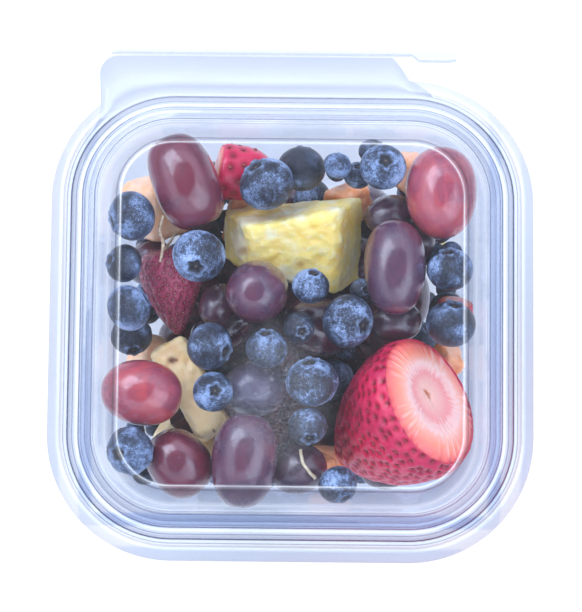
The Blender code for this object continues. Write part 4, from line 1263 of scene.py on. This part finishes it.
def build_heap(pieces):
    shapes = {}
    slots = {"berry": "blueberry", "grape": "grape", "melon": "melon", "pineapple": "pineapple"}
    mats = {
        "berry": berry_material("heap_berry", 0.38, 0.7, 0.2, 0.35, 5.0),
        "grape": grape_material("heap_grape", "deep", 3.0),
        "melon": melon_material("heap_melon", True),
        "pineapple": pineapple_material("heap_pineapple", True),
    }
    for kind, mat in mats.items():
        verts, faces, own, marks = [], [], [], {}
        base = 0
        for k, half, turn, at, number in pieces:
            if k != kind:
                continue
            w, f, o, m = heap_piece(k, half, turn, at, number, shapes)
            verts.append(w)
            own.append(o)
            faces += [tuple(i + base for i in face) for face in f]
            for key in ("mark", "rim", "eye"):
                marks.setdefault(key, []).append(m.get(key, np.zeros(len(w))))
            base += len(w)
        if not verts:
            continue
        obj = make("heap_" + slots[kind], np.concatenate(verts), faces, mat, np.concatenate(own), {k: np.concatenate(v) for k, v in marks.items()})
        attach(obj, "root")
        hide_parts("fruit_bed")


# ---- small things -------------------------------------------------------------------------------------------------------------------
def strand(name, path, radii, mat, slot, sides=8):
    """A stalk: a tube of changing width along points in millimetres."""
    path = np.array(path, float)
    fine = smooth_curve(None, path, np.linspace(0, 1, 5 * len(path)))
    width = np.interp(np.linspace(0, 1, len(fine)), np.linspace(0, 1, len(radii)), radii)
    verts, faces = [], []
    for k, p in enumerate(fine):
        d = fine[min(k + 1, len(fine) - 1)] - fine[max(k - 1, 0)]
        d /= np.linalg.norm(d)
        u = np.cross(d, [0, 0, 1.0])
        u /= max(np.linalg.norm(u), 1e-6)
        v = np.cross(u, d)
        for i in range(sides):
            a = 2 * math.pi * i / sides
            w = width[k] * (1 + 0.15 * math.sin(3 * a + k))
            verts.append(p + w * (math.cos(a) * u + math.sin(a) * v))
    for k in range(len(fine) - 1):
        for i in range(sides):
            a, b = k * sides + i, k * sides + (i + 1) % sides
            faces.append((a, b, b + sides, a + sides))
    faces.append(tuple(reversed(range(sides))))
    last = (len(fine) - 1) * sides
    faces.append(tuple(range(last, last + sides)))
    return np.array(verts), faces


def stalk_material(name, a, b):
    def build(t):
        n = t.noise(t.own((1, 1, 1)), 1.4, 4, 0.6)
        return t.mix(t.span(n, 0.35, 0.65), a, b), 0.6, t.bump(n, 0.4, 0.0003)

    return skin_material(name, None, None, build=build)


def plan_at(px, py):
    return (px - PLAN_X) * PLAN, (PLAN_Y - py) * PLAN


def top_at(tops, x, y, reach=0.8):
    near = (GX - x) ** 2 + (GY - y) ** 2 <= reach * reach
    return float(tops[near].max())


# ---- build ------------------------------------------------------------------------------------------------------------------------
clear = clear_material("clear_tray", haze=0.006)
clear_lid = clear_material("clear_lid", haze=0.006, fog=True)
clear_strip = clear_material("clear_strip", haze=0.06, tint=(0.86, 0.885, 0.95))
build_tray(clear)
build_lid(clear_lid)
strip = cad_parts["tear_strip"]
strip.data.materials.clear()
strip.data.materials.append(clear_strip)

for i, (lean, way, bloom, mottle, wrinkle, tint) in BERRY.items():
    node = "blueberry_%02d" % i
    turn = Euler((0, 0, math.radians(way))).to_matrix() @ Euler((0, math.radians(lean), 0)).to_matrix()
    points, faces, marks = berry_points(BERRY_RADIUS[i - 1] * PLAN, i, wrinkle)
    mat = berry_material("berry_skin_%02d" % i, bloom, mottle, wrinkle, tint, 11.0 * i)
    place(node + "_look", points, faces, mat, turn, node, "blueberry", marks=marks)

for i, (a, b, way, dip, pressed, skin) in GRAPE.items():
    node = "grape_%02d" % i
    turn = along(way, dip)
    points, faces, marks = grape_points(a * PLAN, b * PLAN, turn, pressed, i + 60, square={1: 2.75, 3: 2.30, 8: 2.40, 5: 2.25, 7: 2.30}.get(i, 2.10))
    mat = grape_material("grape_skin_%02d" % i, skin, 13.0 * i)
    place(node + "_look", points, faces, mat, turn, node, "grape", marks=marks)

red = strawberry_skin("strawberry_red", 0.0)
maroon = strawberry_skin("strawberry_maroon", 0.75)
gold = achene_material("achene_brown", (0.30, 0.010, 0.034), (0.44, 0.085, 0.060))
brown = achene_material("achene_pale", (0.50, 0.20, 0.19), (0.72, 0.45, 0.38))
flesh = cut_face_material()
strawberry("strawberry_cut", 3.0, 130, 220, 0.0, red, gold, flesh, 3, 0.62)
strawberry("strawberry_whole", 1.75, 90, 120, 0.75, maroon, brown, None, 5, 0.38)
strawberry("strawberry_half", 4.0, 60, 96, 0.0, red, gold, flesh, 7, 0.22)
strawberry("strawberry_bit", 2.2, 48, 80, 0.0, red, gold, flesh, 9, 0.3)

yellow = pineapple_material("pineapple_yellow", False)
tan = pineapple_material("pineapple_tan", True)
for k, (name, (hx, hy, hz, way, tilt, across, taper)) in enumerate(CHUNK.items()):
    turn = along(way, across, tilt)
    big = name.startswith("pineapple")
    points, faces = chunk_points(hx * PLAN, hy * PLAN, hz * PLAN, taper, 70 + k, 44 if big else 24, 0.30 if big else 0.42, 0.45 if big else 0.35)
    mat = (yellow if name.endswith("01") else tan) if big else melon_material(name + "_flesh", name not in ("melon_04", "melon_05"))
    marks = {"mark": np.zeros(len(points)), "eye": np.zeros(len(points))}
    if big:
        matrix, scale = fit(points, turn, name)
        world = (points * scale) @ np.array(turn).T + np.array(matrix.translation) / MM
        eyes = ((242, 249, 2.0, 1.1), (300, 262, 1.0, 0.6)) if name.endswith("01") else ((172, 360, 1.15, 0.9), (176.5, 360, 0.5, 0.4), (230, 423, 0.5, 0.5), (215, 430, 0.35, 0.35))
        eye = np.zeros(len(points))
        for px, py, a, b in eyes:
            ex, ey = plan_at(px, py)
            d = ((world[:, 0] - ex) / a) ** 2 + ((world[:, 1] - ey) / b) ** 2
            eye = np.maximum(eye, np.exp(-(d**1.5)) * (world[:, 2] > np.quantile(world[:, 2], 0.25)))
        marks["eye"] = eye
    place(name + "_look", points, faces, mat, turn, name, "pineapple" if big else "melon", marks=marks)

ceiling, wall, tops = start_fields()
twigs = (
    ("calyx_bit", ((163, 218), (159, 232), (163, 246), (160, 264)), (0.35, 0.42, 0.50, 0.30), "dry"),
    ("calyx_fork", ((174, 229), (170, 238), (163, 249)), (0.25, 0.35, 0.45), "dry"),
    ("stalk_front", ((302, 449), (304, 461), (310, 470), (317, 477)), (0.45, 0.42, 0.40, 0.50), "cream"),
    ("stalk_left", ((119, 459), (121, 469), (122, 479)), (0.55, 0.50, 0.62), "green"),
)
tones = {
    "dry": stalk_material("stalk_dry", (0.36, 0.22, 0.14), (0.66, 0.55, 0.42)),
    "cream": stalk_material("stalk_cream", (0.66, 0.56, 0.36), (0.82, 0.75, 0.58)),
    "green": stalk_material("stalk_green", (0.40, 0.42, 0.12), (0.66, 0.62, 0.25)),
}
for name, path, radii, tone in twigs:
    flat = [plan_at(*q) for q in path]
    laid = [(x, y, min(top_at(tops, x, y, 0.9) + 0.30, float(np.interp(max(abs(x), abs(y)), (44.0, 50.0), (57.9, 53.4))))) for x, y in flat]
    lift = [p[2] for p in laid]
    lift = [max(z, max(lift) - 1.6) for z in lift] if tone != "green" else lift
    verts, faces = strand(name, [(x, y, z) for (x, y, _), z in zip(laid, lift, strict=True)], radii, None, None)
    obj = make(name, verts, faces, tones[tone])
    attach(obj, "root")
rng = np.random.default_rng(12)
pieces = fill_heap(ceiling, wall, rng)
build_heap(pieces)
build_core()
print("heap pieces:", len(pieces))

# fine drops that hang under the window, thickest over the fogged patch
rng = np.random.default_rng(5)
dome, dome_faces = ball(4, 6)
verts, faces = [], []
for k in range(1900):
    if k < 1700:
        x, y = rng.normal(-4.0, 7.0), rng.normal(-20.0, 8.5)
    else:
        x, y = rng.uniform(-41, 41), rng.uniform(-41, 41)
    if max(abs(x), abs(y)) > 41.5:
        continue
    r = 0.05 + 0.10 * rng.random() ** 3
    verts.append(dome * np.array([r, r * rng.uniform(0.8, 1.2), 0.35 * r]) + np.array([x, y, FLANGE_Z + WINDOW_Z - SHEET - 0.1 * r]))
    faces += [tuple(i + (len(verts) - 1) * len(dome) for i in f) for f in dome_faces]
drops = make("drops", np.concatenate(verts), faces, clear_material("drop_clear", haze=0.04, tint=(0.95, 0.965, 1.0)))
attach(drops, "root")

# ---- floor, light and camera -------------------------------------------------------------------------------------------------------
floor_mat = bpy.data.materials.new("floor")
t = Tree(floor_mat)
b = t.node("BsdfPrincipled", Roughness=0.9)
b.inputs["Emission Color"].default_value = (1.0, 1.0, 1.0, 1.0)
b.inputs["Emission Strength"].default_value = 0.60
grain = t.noise(t.node("TexCoord").outputs["Object"], 30, 3, 0.5)
t.put(b.inputs["Base Color"], t.mix(grain, (0.37, 0.37, 0.37), (0.40, 0.40, 0.40)))
t.out(b.outputs[0])
floor = make("floor", [(-1500, -1500, 0), (1500, -1500, 0), (1500, 1500, 0), (-1500, 1500, 0)], [(0, 1, 2, 3)], floor_mat)
floor.location.z = -0.0001

world = bpy.data.worlds.new("studio")
bpy.context.scene.world = world
t = Tree(world)
way = t.node("TexCoord").outputs["Generated"]
axes = t.node("SeparateXYZ", _0=way)
up = t.math("MAXIMUM", axes.outputs[2], 0.001)
ax = t.math("DIVIDE", t.math("ABSOLUTE", axes.outputs[0]), up)
ay = t.math("DIVIDE", t.math("ABSOLUTE", t.math("SUBTRACT", axes.outputs[1], 0.0)), up)
hole = t.span(t.math("MAXIMUM", ax, ay), 0.50, 0.60)
level = t.math("ADD", t.math("MULTIPLY", hole, 1.36), 0.30)
low_sky = t.span(axes.outputs[2], 0.20, 0.50, 0.36, 1.0)
level = t.math("MULTIPLY", level, low_sky)
side = t.math("ADD", t.math("MULTIPLY", axes.outputs[0], -0.60), t.math("MULTIPLY", axes.outputs[1], 0.70))
level = t.math("MULTIPLY", level, t.math("ADD", 1.05, t.math("MULTIPLY", side, 0.32)))
bg = t.node("Background", Color=(0.93, 0.965, 1.0), Strength=level)
t.tree.links.new(bg.outputs[0], t.node("OutputWorld").inputs[0])

for name, at, size, power, colour in (
    ("key", (-0.44, 0.50, 0.85), 0.74, 7.2, (1.0, 0.985, 0.97)),
    ("fill", (0.58, -0.34, 0.80), 1.00, 5.4, (0.99, 0.985, 1.0)),
):
    lamp = bpy.data.lights.new(name, "AREA")
    lamp.size = size
    lamp.energy = power
    lamp.color = colour
    obj = bpy.data.objects.new(name, lamp)
    obj.location = at
    obj.rotation_euler = (Vector(at) - Vector((0, 0, 0.05))).to_track_quat("Z", "Y").to_euler()
    bpy.context.scene.collection.objects.link(obj)

ELEVATION, DISTANCE, ROLL = 84.0, 0.600, 0.6
cam = bpy.data.cameras.new("camera")
cam.sensor_width = 36.0
cam.lens = 1.006 * DISTANCE / (PLAN * MM) * 36.0 / 612.0
eye = bpy.data.objects.new("camera", cam)
bpy.context.scene.collection.objects.link(eye)
e = math.radians(ELEVATION)
aim = Vector((-0.00013, 11.0 * PLAN * MM / math.sin(e), FLANGE_Z * MM))
back = Vector((0, -math.cos(e), math.sin(e)))
eye.matrix_world = Matrix.Translation(aim + back * DISTANCE) @ (back.to_track_quat("Z", "Y").to_matrix() @ Euler((0, 0, math.radians(ROLL))).to_matrix()).to_4x4()
bpy.context.scene.camera = eye

scene = bpy.context.scene
scene.view_settings.view_transform = "Standard"
scene.view_settings.look = "None"
scene.cycles.transparent_max_bounces = 32
